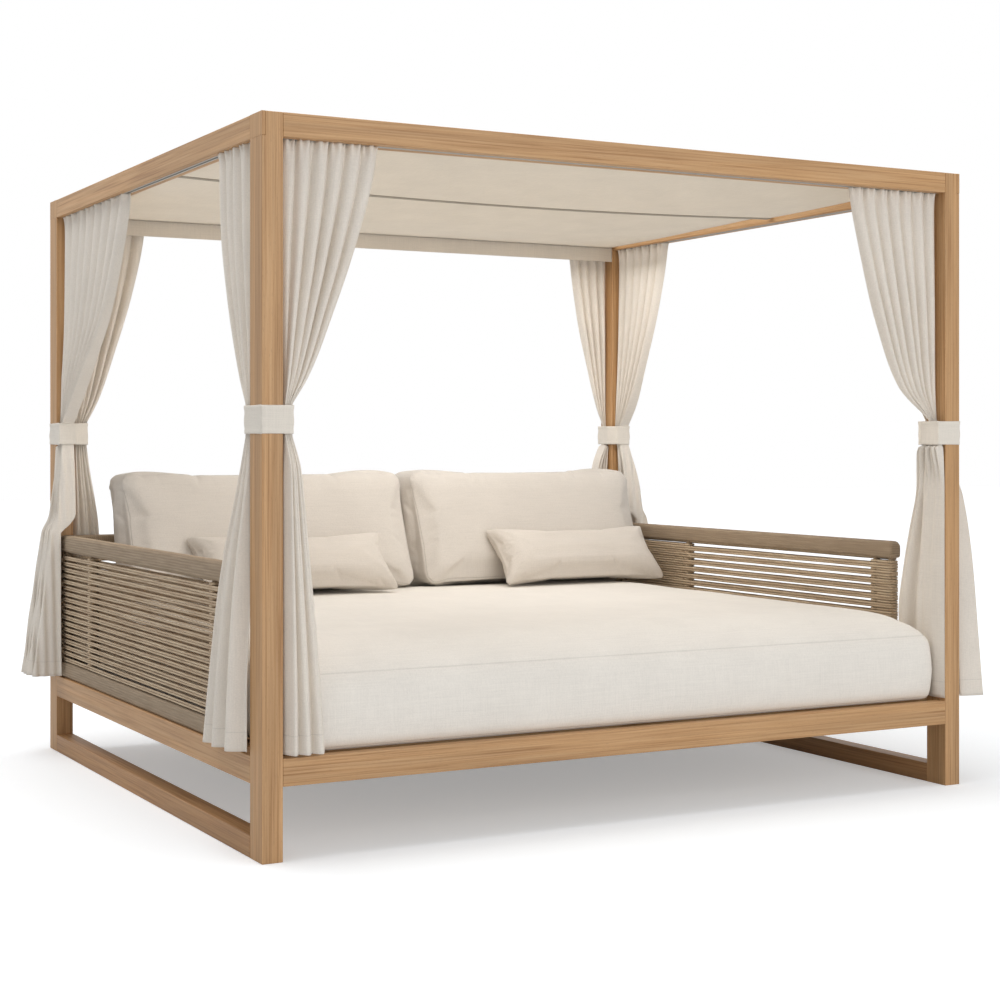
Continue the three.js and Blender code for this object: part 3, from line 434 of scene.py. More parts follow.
rope_finish = {
    "x": taupe_cord("taupe_rope_across", "#b3987a", "#d6c1a3", 9, "x"),
    "y": taupe_cord("taupe_rope_deep", "#b3987a", "#d6c1a3", 9, "y"),
}
for panel, facts in panels.items():
    along, aside = facts["along"], facts["aside"]
    low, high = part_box(f"{panel}_rope")
    count, strand_radius = rope_turns[panel]
    pitch = (high[2] - low[2] - last_course_drop) / count
    first_level = low[2] + first_course_lift
    course = winding_path(facts["start"], facts["end"], first_level, pitch, count)
    pieces = []
    for lift in (-strand_radius, strand_radius):
        waver = unevenness.normal(0, waver_deep, len(course) + evened_over - 1)
        waver = np.convolve(waver, np.ones(evened_over) / evened_over, "valid")
        path = [on_axis(along, r, aside + a, z + lift + w) for (r, a, z), w in zip(course, waver)]
        pieces.append(tube_along(path, strand_radius))
    first, second, third, last = facts["places"]
    for k in range(count):
        level = first_level + (k + 0.5) * pitch
        for run in (second, third):
            first_side, last_side = run - lash_half_wide, run + lash_half_wide
            pieces.append(lashing(along, first_side, last_side, aside, level))
        if panel == "arm_right":
            pieces.append(lashing(along, first, second - wide_lash_gap, aside, level))
            near_last = last - last_lash_gap
            pieces.append(lashing(along, third + wide_lash_gap, near_last, aside, level))
    # A straight cord closes the winding under the top tube
    top_level = high[2] + closing_cord_lift
    runs = np.linspace(facts["start"] + closing_cord_inset, facts["end"] - closing_cord_inset, 12)
    path = [on_axis(along, run, aside, top_level) for run in runs]
    pieces.append(tube_along(path, closing_cord_radius))
    rope = joined(f"{panel}_winding", pieces)
    dressed(rope, "bedstead", "rope", rope_finish[along], f"{panel}_rope")


# Mattress
# A foam mattress in a boxed cover of heavy cream linen weave. It crowns a little, rounds over at
# its edges, and a seam runs round it where its top, and its underside, meets the boxing.
def linen(name, colour, thread, seams=(), see_through=0.0, strength=0.35):
    """Plain linen weave in dyed yarn. Real threads are about 0.8 mm apart, too fine to show at
    this size, so they are drawn a few millimetres wide with the slubs that linen yarn has."""
    cloth, shader = finish_named(name, Roughness=0.92, IOR=1.45, Sheen_Weight=0.1, Sheen_Roughness=0.6)
    weave = []
    for stretch in ((90, thread, thread), (thread, 90, thread), (thread, thread, 90)):
        noise = {"Vector": in_millimetres(cloth, *stretch), "Scale": 1.0, "Detail": 2.0}
        weave.append(put(cloth, "TexNoise", noise).outputs["Fac"])
    both = put(cloth, "Math", {0: weave[0], 1: weave[1]}, operation="ADD").outputs[0]
    both = put(cloth, "Math", {0: both, 1: weave[2]}, operation="ADD").outputs[0]
    noise = {"Vector": in_millimetres(cloth, 160, 160, 160), "Scale": 1.0, "Detail": 2.0}
    cloudy = put(cloth, "TexNoise", noise).outputs["Fac"]
    threads = put(cloth, "MapRange", {"Value": both, 1: 1.0, 2: 2.0, 3: 0.93, 4: 1.05}).outputs[0]
    drift = put(cloth, "MapRange", {"Value": cloudy, 1: 0.3, 2: 0.7, 3: 0.975, 4: 1.015}).outputs[0]
    tone = put(cloth, "Math", {0: threads, 1: drift}, operation="MULTIPLY").outputs[0]
    height = both
    for normal, level, width in seams:
        # A sewn seam: a narrow valley across the weave, with painted shade darkening it
        place = put(cloth, "TexCoord").outputs["Object"]
        away = put(cloth, "VectorMath", {0: place, 1: normal}, operation="DOT_PRODUCT")
        away = put(cloth, "Math", {0: away.outputs["Value"], 1: level}, operation="SUBTRACT")
        away = put(cloth, "Math", {0: away.outputs[0]}, operation="ABSOLUTE").outputs[0]
        spread = {"Value": away, 1: 0.0, 2: width, 3: 0.0, 4: 1.0}
        open_part = put(cloth, "MapRange", spread, interpolation_type="SMOOTHSTEP").outputs[0]
        shade = put(cloth, "MapRange", {"Value": open_part, 3: 0.89, 4: 1.0}).outputs[0]
        tone = put(cloth, "Math", {0: tone, 1: shade}, operation="MULTIPLY").outputs[0]
        raised = {0: open_part, 1: 4.0, 2: height}
        height = put(cloth, "Math", raised, operation="MULTIPLY_ADD").outputs[0]
    # The dyed colour also carries the painted shade of the seams
    layers = {0: 1.0, 6: linear(colour), 7: tone}
    dyed = put(cloth, "Mix", layers, data_type="RGBA", blend_type="MULTIPLY").outputs[2]
    bump = put(cloth, "Bump", {"Height": height, "Strength": strength, "Distance": 0.0012})
    cloth.node_tree.links.new(dyed, shader.inputs["Base Color"])
    cloth.node_tree.links.new(bump.outputs[0], shader.inputs["Normal"])
    if see_through:
        # Thin cloth lets some of the light behind it through
        glow = put(cloth, "BsdfTranslucent", {"Color": dyed, "Normal": bump.outputs[0]})
        both_ways = put(cloth, "MixShader", {0: see_through, 1: shader.outputs[0], 2: glow.outputs[0]})
        out = cloth.node_tree.nodes["Material Output"]
        cloth.node_tree.links.new(both_ways.outputs[0], out.inputs["Surface"])
    return cloth


def remeshed(name, node, voxel, settle):
    """A copy of a CAD piece as an even skin, its hard facets settled into soft curves."""
    made = bpy.data.objects.new(name, nodes[node].data.copy())
    scene.collection.objects.link(made)
    grid = made.modifiers.new("even_skin", "REMESH")
    grid.mode, grid.voxel_size, grid.use_smooth_shade = "VOXEL", voxel, True
    soft = made.modifiers.new("settle", "SMOOTH")
    soft.iterations, soft.factor = settle, 0.5
    settled = made.evaluated_get(bpy.context.evaluated_depsgraph_get())
    data = bpy.data.meshes.new_from_object(settled)
    made.modifiers.clear()
    made.data = data
    made.data.shade_smooth()
    return made


def points_of(piece):
    """The places of a piece's corner points, one row each."""
    co = np.zeros(len(piece.data.vertices) * 3)
    piece.data.vertices.foreach_get("co", co)
    return co.reshape(-1, 3)


def set_points(piece, co):
    """Moves a piece's corner points to new places."""
    piece.data.vertices.foreach_set("co", co.ravel())
    piece.data.update()


def smooth_waves(co, size, seed, count=7):
    """Slow unevenness: the mean of a few waves, about size long, that cross each other."""
    turns = np.random.default_rng(seed)
    total = np.zeros(len(co))
    for _ in range(count):
        way = turns.normal(size=3)
        way *= 2 * math.pi / (size * turns.uniform(0.7, 1.5) * np.linalg.norm(way))
        total += np.sin(co @ way + turns.uniform(0, 2 * math.pi))
    return total / count


def finer(piece):
    """Rounds a soft piece's skin between its points."""
    rounding = piece.modifiers.new("finer", "SUBSURF")
    rounding.levels = rounding.render_levels = 1


mattress_low, mattress_high = (np.array(corner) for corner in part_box("mattress"))
mattress = remeshed("mattress_cover", "mattress", 0.02, 8)
shape = points_of(mattress)
# Settling has drawn it in, so it is let out again to its cut
shape = mattress_low + (shape - shape.min(0)) * (mattress_high - mattress_low) / np.ptp(shape, axis=0)
# The foam is cut square, so the cover's corners are filled out in plan
corner, corner_fullness = 0.085, 4.5
box_middle = (mattress_low + mattress_high) / 2
past = np.maximum(abs(shape - box_middle)[:, :2] - (mattress_high - box_middle)[:2] + corner, 0)
squared = (past**corner_fullness).sum(1) ** (1 / corner_fullness)
fuller = np.hypot(*past.T) / np.maximum(squared, 1e-9)
shape[:, :2] += past * np.maximum(fuller - 1, 0)[:, None] * np.sign(shape - box_middle)[:, :2]
wave_deep, wave_long, top_from = 0.0025, 0.5, 0.5
shape[:, 2] += wave_deep * smooth_waves(shape, wave_long, 3) * (shape[:, 2] > top_from)
shape = np.clip(shape, mattress_low, mattress_high)
set_points(mattress, shape)
finer(mattress)
seam_wide, seam_heights = 0.003, (0.212, 0.012)
mattress_seams = [((0, 0, 1), mattress_low[2] + high, seam_wide) for high in seam_heights]
mattress_linen = linen("boxed_linen_weave", "#f1ebe2", 3.2, mattress_seams, strength=0.25)
dressed(mattress, "mattress", "cushion_fabric", mattress_linen, "mattress")


# Back cushions
# Two large boxed cushions filled with foam and fibre, in a linen coloured a little darker than
# the mattress's as painted shade. They stand on it, lean on the back frame and swell a little between
# their seams.
def swollen(piece, pressure, cap, shrink, steps=20):
    """Fills a sewn cover: the cloth is blown up a little from inside, then kept near its cut."""
    start = points_of(piece)
    middle = (start.min(0) + start.max(0)) / 2
    half = (start.max(0) - start.min(0)) / 2
    small = middle + (start - middle) * (1 - np.asarray(shrink) / half)
    set_points(piece, small)
    fill = piece.modifiers.new("fill", "CLOTH")
    fill.settings.quality = 5
    fill.settings.mass = 0.3
    fill.settings.tension_stiffness = fill.settings.compression_stiffness = 18
    fill.settings.shear_stiffness = 6
    fill.settings.bending_stiffness = 0.6
    fill.settings.use_pressure = True
    fill.settings.uniform_pressure_force = pressure
    fill.settings.effector_weights.gravity = 0
    fill.point_cache.frame_start, fill.point_cache.frame_end = 1, steps
    for step in range(1, steps + 1):
        scene.frame_set(step)
    filled = piece.evaluated_get(bpy.context.evaluated_depsgraph_get())
    blown = bpy.data.meshes.new_from_object(filled)
    moved = np.array([v.co for v in blown.vertices])
    piece.modifiers.remove(fill)
    bpy.data.meshes.remove(blown)
    scene.frame_set(1)
    step_out = moved - small
    far = np.linalg.norm(step_out, axis=1, keepdims=True)
    set_points(piece, small + step_out * np.minimum(1, cap / np.maximum(far, 1e-9)))


edge_wide, edge_drop = 0.19, 0.092


def mattress_top(y):
    """The height of the mattress's top, which falls away towards its back edge."""
    inset = np.clip((mattress_high[1] - y) / edge_wide, 0, 1)
    return mattress_high[2] - edge_drop * (1 - inset) ** 2


rear_lean, front_lean, cushion_half, cushion_at = 0.3, 0.4, 0.1, 0.8248
rear_swell, top_swell, side_swell = 0.012, 0.004, 0.002
seam_inset, foot_high, seam_wide, wave_deep, wave_long = 0.006, 0.12, 0.0025, 0.003, 0.32
for side in ("left", "right"):
    name = f"back_cushion_{side}"
    low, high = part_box(name)
    cushion = remeshed(f"{name}_cover", name, 0.009, 2)
    swollen(cushion, pressure=3.5, cap=0.014, shrink=(0.004, 0.006, 0.004))
    shape = points_of(cushion)
    # It keeps its foot on the mattress and its back against the frame
    level = (low[2] + high[2]) / 2
    shape[:, 2] = np.clip(shape[:, 2], low[2], high[2] + top_swell)
    rear = cushion_at + cushion_half + rear_swell + rear_lean * (shape[:, 2] - level)
    shape[:, 1] = np.minimum(shape[:, 1], rear)
    foot = np.clip(1 - (shape[:, 2] - low[2]) / foot_high, 0, 1)
    shape[:, 2] -= foot * (mattress_high[2] - mattress_top(shape[:, 1]))
    shape[:, 0] = np.clip(shape[:, 0], low[0] - side_swell, high[0] + side_swell)
    shape[:, 1] += wave_deep * smooth_waves(shape, wave_long, 11 if side == "left" else 23)
    set_points(cushion, shape)
    finer(cushion)
    front_seam = cushion_at - cushion_half + seam_inset - front_lean * level
    rear_seam = cushion_at + cushion_half - seam_inset - rear_lean * level
    seams = [((0, 1, -front_lean), front_seam, seam_wide), ((0, 1, -rear_lean), rear_seam, seam_wide)]
    # Painted shade: this linen is coloured darker than the mattress's to stand for shade
    cushion_painted_shade_linen = linen(f"cushion_painted_shade_linen_{side}", "#d8d0c6", 2.8, seams)
    dressed(cushion, name, "cushion_fabric", cushion_painted_shade_linen, name)

# Lumbar pillows
# Two small fibre-filled pillows, sewn from two panels with a knife edge. They tilt back against
# the large cushions, and the cloth puckers a little at their corners.
pillow_tilt = math.radians(42)
tip_inset, tip_rise = 0.005, 0.14
pucker_deep, pucker_reach, pucker_count = 0.0026, 0.05, 9
seam_wide, wave_deep, wave_long = 0.0022, 0.002, 0.18
for side in ("left", "right"):
    name = f"lumbar_pillow_{side}"
    low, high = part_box(name)
    pillow = remeshed(f"{name}_cover", name, 0.006, 2)
    swollen(pillow, pressure=4.0, cap=0.016, shrink=(0.006, 0.002, 0.006))
    shape = points_of(pillow)
    # In the pillow's own directions: along it, up it and out of its faces
    middle = (np.array(low) + np.array(high)) / 2
    up = np.array([0, math.sin(pillow_tilt), math.cos(pillow_tilt)])
    out = np.array([0, -math.cos(pillow_tilt), math.sin(pillow_tilt)])
    along, rise, away = (shape - middle)[:, 0], (shape - middle) @ up, (shape - middle) @ out
    # Puckers run out from each corner across the seam
    tip = (high[0] - low[0]) / 2 - tip_inset
    for sx in (-1, 1):
        for sz in (-1, 1):
            reach = np.hypot(along - sx * tip, rise - sz * tip_rise)
            turn = np.arctan2(rise - sz * tip_rise, along - sx * tip)
            near = np.exp(-((reach / pucker_reach) ** 2))
            pucker = pucker_deep * near * np.sin(pucker_count * turn + sx + 2 * sz)
            shape += pucker[:, None] * out * np.sign(away)[:, None]
    waves = smooth_waves(shape, wave_long, 31 if side == "left" else 47)
    shape += (wave_deep * waves)[:, None] * out
    shape[:, 2] = np.maximum(shape[:, 2], low[2])
    set_points(pillow, shape)
    finer(pillow)
    seams = [(tuple(out), float(middle @ out), seam_wide)]
    # Painted shade: this linen is coloured darker than the mattress's to stand for shade
    pillow_painted_shade_linen = linen(f"pillow_painted_shade_linen_{side}", "#d9d0c5", 2.8, seams)
    dressed(pillow, name, "cushion_fabric", pillow_painted_shade_linen, name)


# Canopy
# One length of linen is laced between the front and back beams. It passes under the middle
# batten, where a strip is sewn on below, and sags on both sides of it. The strip's darker colour is
# painted shade under the batten. A valance hangs in front of the back curtains' heads.
def steady_curve(places, known_at, known):
    """A smooth curve through known values that never swings past them."""
    known_at, known = np.asarray(known_at, float), np.asarray(known, float)
    step, slope = np.diff(known_at), np.diff(known) / np.diff(known_at)
    lean = np.zeros(len(known))
    for i in range(1, len(known) - 1):
        if slope[i - 1] * slope[i] > 0:
            a, b = 2 * step[i] + step[i - 1], step[i] + 2 * step[i - 1]
            lean[i] = (a + b) / (a / slope[i - 1] + b / slope[i])
    lean[0], lean[-1] = slope[0], slope[-1]
    i = np.clip(np.searchsorted(known_at, places) - 1, 0, len(step) - 1)
    t, h = (places - known_at[i]) / step[i], step[i]
    return (
        (2 * t**3 - 3 * t**2 + 1) * known[i]
        + (t**3 - 2 * t**2 + t) * h * lean[i]
        + (-2 * t**3 + 3 * t**2) * known[i + 1]
        + (t**3 - t**2) * h * lean[i + 1]
    )


def thickened(piece, thick):
    """Gives a sheet the thickness of its cloth."""
    cloth = piece.modifiers.new("cloth_thickness", "SOLIDIFY")
    cloth.thickness, cloth.offset = thick, 0


canopy_linen = linen("canopy_linen", "#e4ddd2", 3.0, see_through=0.4)
canopy_low, canopy_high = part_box("canopy_cloth")
under_cloth = points_of(nodes["canopy_cloth"])
line_reach, edge_reach, centre_reach = 0.0015, 0.01, 0.02
line_places, line_edges, line_middles = [], [], []
for y in np.unique(np.round(under_cloth[:, 1], 3)):
    line = under_cloth[abs(under_cloth[:, 1] - y) < line_reach]
    edge = line[abs(line[:, 0]) > canopy_high[0] - edge_reach]
    centre = line[abs(line[:, 0]) < centre_reach]
    if len(edge) and len(centre):
        line_places.append(y)
        line_edges.append((edge[:, 2].min() + edge[:, 2].max()) / 2)
        line_middles.append((centre[:, 2].min() + centre[:, 2].max()) / 2)
hem_inset, canopy_thick, sleeve_thick, valance_thick = 0.001, 0.0012, 0.001, 0.0015
depths = np.linspace(canopy_low[1] + hem_inset, canopy_high[1] - hem_inset, 150)
widths = np.linspace(canopy_low[0] + hem_inset, canopy_high[0] - hem_inset, 120)
edge_heights = steady_curve(depths, line_places, line_edges)
middle_heights = steady_curve(depths, line_places, line_middles)
across_shares = widths / canopy_high[0]
cloth_rings = []
for y, edge, middle in zip(depths, edge_heights, middle_heights):
    heights = middle + (edge - middle) * across_shares**2
    cloth_rings.append(np.stack([widths, np.full_like(widths, y), heights], axis=1))
cloth_rings = np.array(cloth_rings)
# Light pulls from the lacing, strongest half way between two supports
flat_points = cloth_rings.reshape(-1, 3)
x, y = flat_points[:, 0], flat_points[:, 1]
front_bay, batten_line, back_bay = -0.55, -0.13, 0.4
supports = [canopy_low[1], front_bay, batten_line, back_bay, canopy_high[1]]
slack = np.interp(y, supports, [0, 1, 0, 1, 0])
pulls = np.sin(x * 17 + 3 * y) + np.sin(x * 41 - 5 * y)
pull_deep, wave_deep, wave_long = 0.0011, 0.004, 0.6
waves = smooth_waves(flat_points, wave_long, 5)
flat_points[:, 2] += slack * (pull_deep * pulls + wave_deep * waves)
canopy = skin("canopy_sheet", flat_points.reshape(cloth_rings.shape), round_closed=False)
thickened(canopy, canopy_thick)
dressed(canopy, "bedstead", "canopy_fabric", canopy_linen, "canopy_cloth")

batten_low, batten_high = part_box("canopy_batten_middle")
batten_at = (batten_low[1] + batten_high[1]) / 2
sleeve_past, sleeve_half, sleeve_full, sleeve_gap = 0.012, 0.0251, 0.0022, 0.001
sleeve_rings = []
for y in np.linspace(batten_low[1] - sleeve_past, batten_high[1] + sleeve_past, 13):
    drop = sleeve_full * math.sqrt(max(0, 1 - ((y - batten_at) / sleeve_half) ** 2))
    middle = np.interp(y, depths, middle_heights)
    edge = np.interp(y, depths, edge_heights)
    heights = middle + (edge - middle) * across_shares**2 - sleeve_gap - drop
    sleeve_rings.append(np.stack([widths, np.full_like(widths, y), heights], axis=1))
sleeve = skin("canopy_sleeve", sleeve_rings, round_closed=False)
thickened(sleeve, sleeve_thick)
# Painted shade: the strip is coloured darker than the canopy to stand for the shade under the batten
sleeve_painted_shade_linen = linen("sleeve_painted_shade_linen", "#aba192", 3.0, see_through=0.1)
dressed(sleeve, "bedstead", "canopy_fabric", sleeve_painted_shade_linen)

valance_low, valance_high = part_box("rear_valance")
valance_inset, ripple_deep, hem_dip = 0.002, 0.0012, 0.002
across = np.linspace(valance_low[0] + valance_inset, valance_high[0] - valance_inset, 300)
valance_rings = []
for share in np.linspace(0, 1, 14):
    z = valance_high[2] + (valance_low[2] - valance_high[2]) * share
    ripple = share * ripple_deep * np.sin(across * 23 + np.sin(across * 5))
    depth = (valance_low[1] + valance_high[1]) / 2 + ripple
    hang = -share * hem_dip * (1 + np.sin(across * 7))
    valance_rings.append(np.stack([across, depth, np.maximum(z + hang, valance_low[2])], axis=1))
valance = skin("rear_valance_cloth", valance_rings, round_closed=False)
thickened(valance, valance_thick)
valance_linen = linen("valance_linen", "#f3eadd", 3.0, see_through=0.2)
dressed(valance, "bedstead", "canopy_fabric", valance_linen, "rear_valance")

# Curtains
# Eight lengths of cream linen, gathered on tape under the beams. They fan in to a band at each
# post and open again below it into a few deep folds, down to a hem just above the seat rails.
hem_level, hem_high, stitch_wide = 0.286, 0.052, 0.002
hem_seam = [((0, 0, 1), hem_level + hem_high, stitch_wide)]
curtain_linen = linen("curtain_linen", "#f4ece1", 3.0, hem_seam, see_through=0.16, strength=0.22)


def heights_of(node):
    """A curtain's CAD solid as rows of its height and its box at that height."""
    co, row_reach = points_of(nodes[node]), 0.0012
    rows = []
    for z in np.unique(np.round(co[:, 2], 3)):
        at = co[abs(co[:, 2] - z) < row_reach]
        rows.append([z, *at[:, :2].min(0), *at[:, :2].max(0)])
    return np.array(rows)


def box_side(heights, rows, band, k):
    """One side of a curtain's box at each height, with its fan and its fall as a curve each."""
    waist = sum(band) / 2
    fan, fall = rows[rows[:, 0] > waist], rows[rows[:, 0] < waist]
    above = steady_curve(np.clip(heights, fan[0, 0], fan[-1, 0]), fan[:, 0], fan[:, k])
    below = steady_curve(np.clip(heights, fall[0, 0], fall[-1, 0]), fall[:, 0], fall[:, k])
    return np.where(heights > waist, above, below)


def ridges(turn):
    """Gathered cloth across its folds: broad round ridges between narrow valleys, from -1 to 1."""
    steepness, valley_round, valley_drop = 2.548, 0.06, 1.624
    return steepness * np.sqrt(np.cos(turn / 2) ** 2 + valley_round) - valley_drop


curtain_thick, cloth_inset, hem_turned_in = 0.0014, 0.001, 0.02
tape_gap, tape_high, post_gap, band_hem = 0.0005, 0.06, 0.002, 0.004
# How uneven the folds are along the curtain, and how much of it lies beside its post
uneven_share, drift_share, post_share = 0.024, 0.012, 0.2
# How far the narrow folds have become broad ones, from the tape to the band and on to the hem
broad_at_tape, broad_gain, broad_under_band, broad_at_hem, broad_rise = 0.1, 0.25, 0.42, 0.96, 0.32
# How deep the folds stand, as shares of the room in the solid or of their own width
fall_share, fan_share, head_share, fan_rise = 0.96, 0.95, 0.5, -0.6
slimness, outer_share, tuck, slow_swell = 0.42, 0.93, 0.6, 0.1
crumple, crumple_high, pleat, pleat_high = 0.08, 0.05, 0.34, 0.02
# The turned curtain: the near edge of its gap beside the mattress, the slack cloth above it, and
# the room for folds on the post's far side
gap_edge, gap_level, slack_wide, slack_high, belly_deep = 1.146, 0.97, 0.05, 0.16, 0.026
post_far_side, far_fold_deep, far_fold_level = -0.975, 0.017, 1.03
# The wrapping curtains: how far back they reach, and their inner edge on the post and past the arm
wrap_from, wrap_deep, wrap_ripple, ripple_wide = 0.978, 0.094, 0.0035, 0.03
wrap_inner, arm_outward, arm_level, arm_ease = 1.158, 0.0595, 0.87, 0.07
post_front_places, post_side_places = (0.945, 0.975), (1.1, 1.2175)


def curtain_room(node, along, heights, band, rows, post_high, turned, wraps):
    """The least and most x and y that the cloth may have at each height."""
    on_left = "left" in node
    low_x, low_y, high_x, high_y = (box_side(heights, rows, band, k) for k in (1, 2, 3, 4))
    fallen = np.clip((band[0] - heights) / (band[0] - rows[0, 0]), 0, 1)
    if along == "x" and on_left:
        low_x = np.minimum(low_x, post_high[0] + post_gap)
    elif along == "y" and "front" in node:
        low_y = np.minimum(low_y, post_high[1] + post_gap)
    if turned:
        # It narrows from the band into the gap beside the mattress, above the mattress's way up
        slack = np.clip((heights - gap_level) / slack_high, 0, 1)
        near_edge = gap_edge - slack_wide * slack**1.5
        low_x = np.where(heights < band[0], np.minimum(low_x, near_edge), low_x)
        high_y += belly_deep * np.sin(math.pi * fallen)
    if wraps:
        # It covers the front of its post down to the arm, and more and more of its outer face
        high_y = np.maximum(high_y, wrap_from + wrap_deep * np.minimum(1, 1.3 * fallen**0.8))
        inner = wrap_inner + arm_outward * np.clip((arm_level - heights) / arm_ease, 0, 1) ** 2
        if on_left:
            high_x = np.where(heights < band[0], -inner, high_x)
        else:
            low_x = np.where(heights < band[0], inner, low_x)
    return low_x, low_y, high_x, high_y


def curtain(node, folds, low_folds, seed, turned=False, wraps=False):
    """A gathered sheet inside its CAD solid. Every fold runs from the tape through the band to
    the hem; many narrow folds at the tape become a few broad ones at the hem."""
    on_left = "left" in node
    post = ("front" if "front" in node else "back") + ("_left" if on_left else "_right")
    over = node.split("_")[1]
    along, faces = ("x", -1) if over in ("front", "back") else ("y", 1)
    band_box, post_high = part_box(f"tie_band_{post}"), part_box(f"post_{post}")[1]
    band = (band_box[0][2] + band_hem, band_box[1][2] - band_hem)
    rows = heights_of(node)
    top, bottom = rows[-1, 0] - tape_gap, rows[0, 0]
    heights = np.concatenate(
        [np.linspace(top, top - tape_high, 16)[:-1], np.linspace(top - tape_high, band[1], 70)[:-1]]
        + [np.linspace(band[1], band[0], 12)[:-1], np.linspace(band[0], bottom, 66)]
    )
    sides = curtain_room(node, along, heights, band, rows, post_high, turned, wraps)
    low_x, low_y, high_x, high_y = sides
    turns = np.random.default_rng(seed)
    shares = np.linspace(0, 1, 200)
    uneven = np.zeros(len(shares))
    for k in (1, 2, 3):
        swing = turns.uniform(-1, 1) * uneven_share
        uneven += swing * np.sin(2 * math.pi * (k * shares + turns.uniform()))
    uneven *= np.sin(math.pi * shares)
    phases, wander = turns.uniform(0, 6.28, 6), turns.uniform(-1, 1, 4)
    from_post = np.clip(shares / post_share, 0, 1)
    off_post = from_post**2 * (3 - 2 * from_post)
    head_wide = ((high_x - low_x) if along == "x" else (high_y - low_y))[0]
    rings = []
    for z, x0, y0, x1, y1 in zip(heights, *sides):
        above = np.clip((z - band[1]) / (top - band[1]), 0, 1)
        below = np.clip((band[0] - z) / (band[0] - bottom), 0, 1)
        from_band = max(z - band[1], band[0] - z, 0)
        wide, deep = (x1 - x0, y1 - y0) if along == "x" else (y1 - y0, x1 - x0)
        drift = drift_share * wander[0] * math.sin(3 * z + phases[0])
        place = shares + uneven + drift * shares * (1 - shares) * 4
        fine = 2 * math.pi * folds * place + math.pi
        broad = 2 * math.pi * low_folds * place + math.pi
        if below > 0:
            share = max(broad_under_band, broad_at_hem * below**broad_rise)
            deepest = fall_share
        else:
            share = broad_at_tape + broad_gain * (1 - above)
            deepest = min(fan_share, head_share * (wide / head_wide) ** fan_rise)
        wave = (1 - share) * ridges(fine) + share * ridges(broad)
        slow = np.sin(2 * math.pi * (1.7 * shares + 0.6 * z) + wander[1] * 3)
        wave *= 1 - slow_swell + slow_swell * slow
        depth = deepest * wave
        if not wraps and (on_left or below == 0):
            # A fold is never much deeper than it is wide
            fold_wide = wide / ((1 - share) * folds + share * low_folds)
            half_deep = max(deep / 2, 0.004)
            depth *= min(1, slimness * fold_wide / half_deep / max(abs(depth).max(), 0.01))
            if on_left:
                # The folds hang at the curtain's outer side, but go back beside the post
                depth += off_post * (outer_share - max(depth.max(), 0.1)) - tuck * (1 - off_post)
        # The band crumples the cloth, and the tape pleats it
        depth += crumple * math.exp(-from_band / crumple_high) * np.sin(2.3 * fine + phases[3])
        depth += pleat * math.exp(-(top - z) / pleat_high) * np.sin(2.6 * fine + phases[4])
        sideways = 2 * place - 1 + 0.12 * np.sin(fine) / folds * (1 - share)
        least, most = sideways.min(), sideways.max()
        sideways = (sideways - least) / (most - least) * 2 - 1
        outward = np.clip(depth, -1, 1) * faces
        angle = 0 if along == "x" else math.pi / 2
        if turned:
            # Its free edge swings back round the post as it comes out of the band
            angle = -math.pi / 2 * np.clip((band[1] - z) / (band[1] - band[0]), 0, 1)
        c, s = math.cos(angle), math.sin(angle)
        fit = abs(c) + abs(s) if turned else 1
        half_x, half_y = (x1 - x0) / 2 - cloth_inset, (y1 - y0) / 2 - cloth_inset
        x = (x0 + x1) / 2 + half_x * (sideways * c - outward * s) / fit
        y = (y0 + y1) / 2 + half_y * (sideways * s + outward * c) / fit
        if wraps and below > 0:
            # Behind the post's front face there is only room outside it
            x = np.sign(x) * np.maximum(abs(x), np.interp(y, post_front_places, post_side_places))
            ripple = 1 + np.sin(2 * math.pi * x / ripple_wide + 4 * z + phases[0])
            y -= wrap_ripple * min(1, 12 * below) * ripple
        if turned:
            # Past the post there is room for deep folds on its far side
            past_post = np.clip((y - post_far_side) / 0.04, 0, 1)
            room = past_post * np.clip((far_fold_level - z) / 0.1, 0, 1)
            x += far_fold_deep * (1 - wave) * room
        rings.append(np.stack([x, y, np.full_like(x, z)], axis=1))
    rings = np.array(rings)
    sheet = skin(f"{node}_cloth", rings, round_closed=False)
    thickened(sheet, curtain_thick)
    dressed(sheet, "bedstead", "curtain_fabric", curtain_linen, node)
    # Its flat width is the cloth along the folds, averaged over the height
    runs = np.linalg.norm(np.diff(rings, axis=1), axis=2).sum(1)
    wide = float(((runs[1:] + runs[:-1]) / 2 * -np.diff(heights)).sum() / (top - bottom))


curtain("curtain_front_left", 6, 3, seed=1)
curtain("curtain_left_front", 5, 3, seed=2)
curtain("curtain_back_left", 6, 3, seed=3)
curtain("curtain_left_back", 8, 4, seed=4, wraps=True)
curtain("curtain_front_right", 7, 3, seed=5, turned=True)
curtain("curtain_right_front", 5, 3, seed=6)
curtain("curtain_back_right", 4, 2, seed=7)
curtain("curtain_right_back", 6, 3, seed=8, wraps=True)
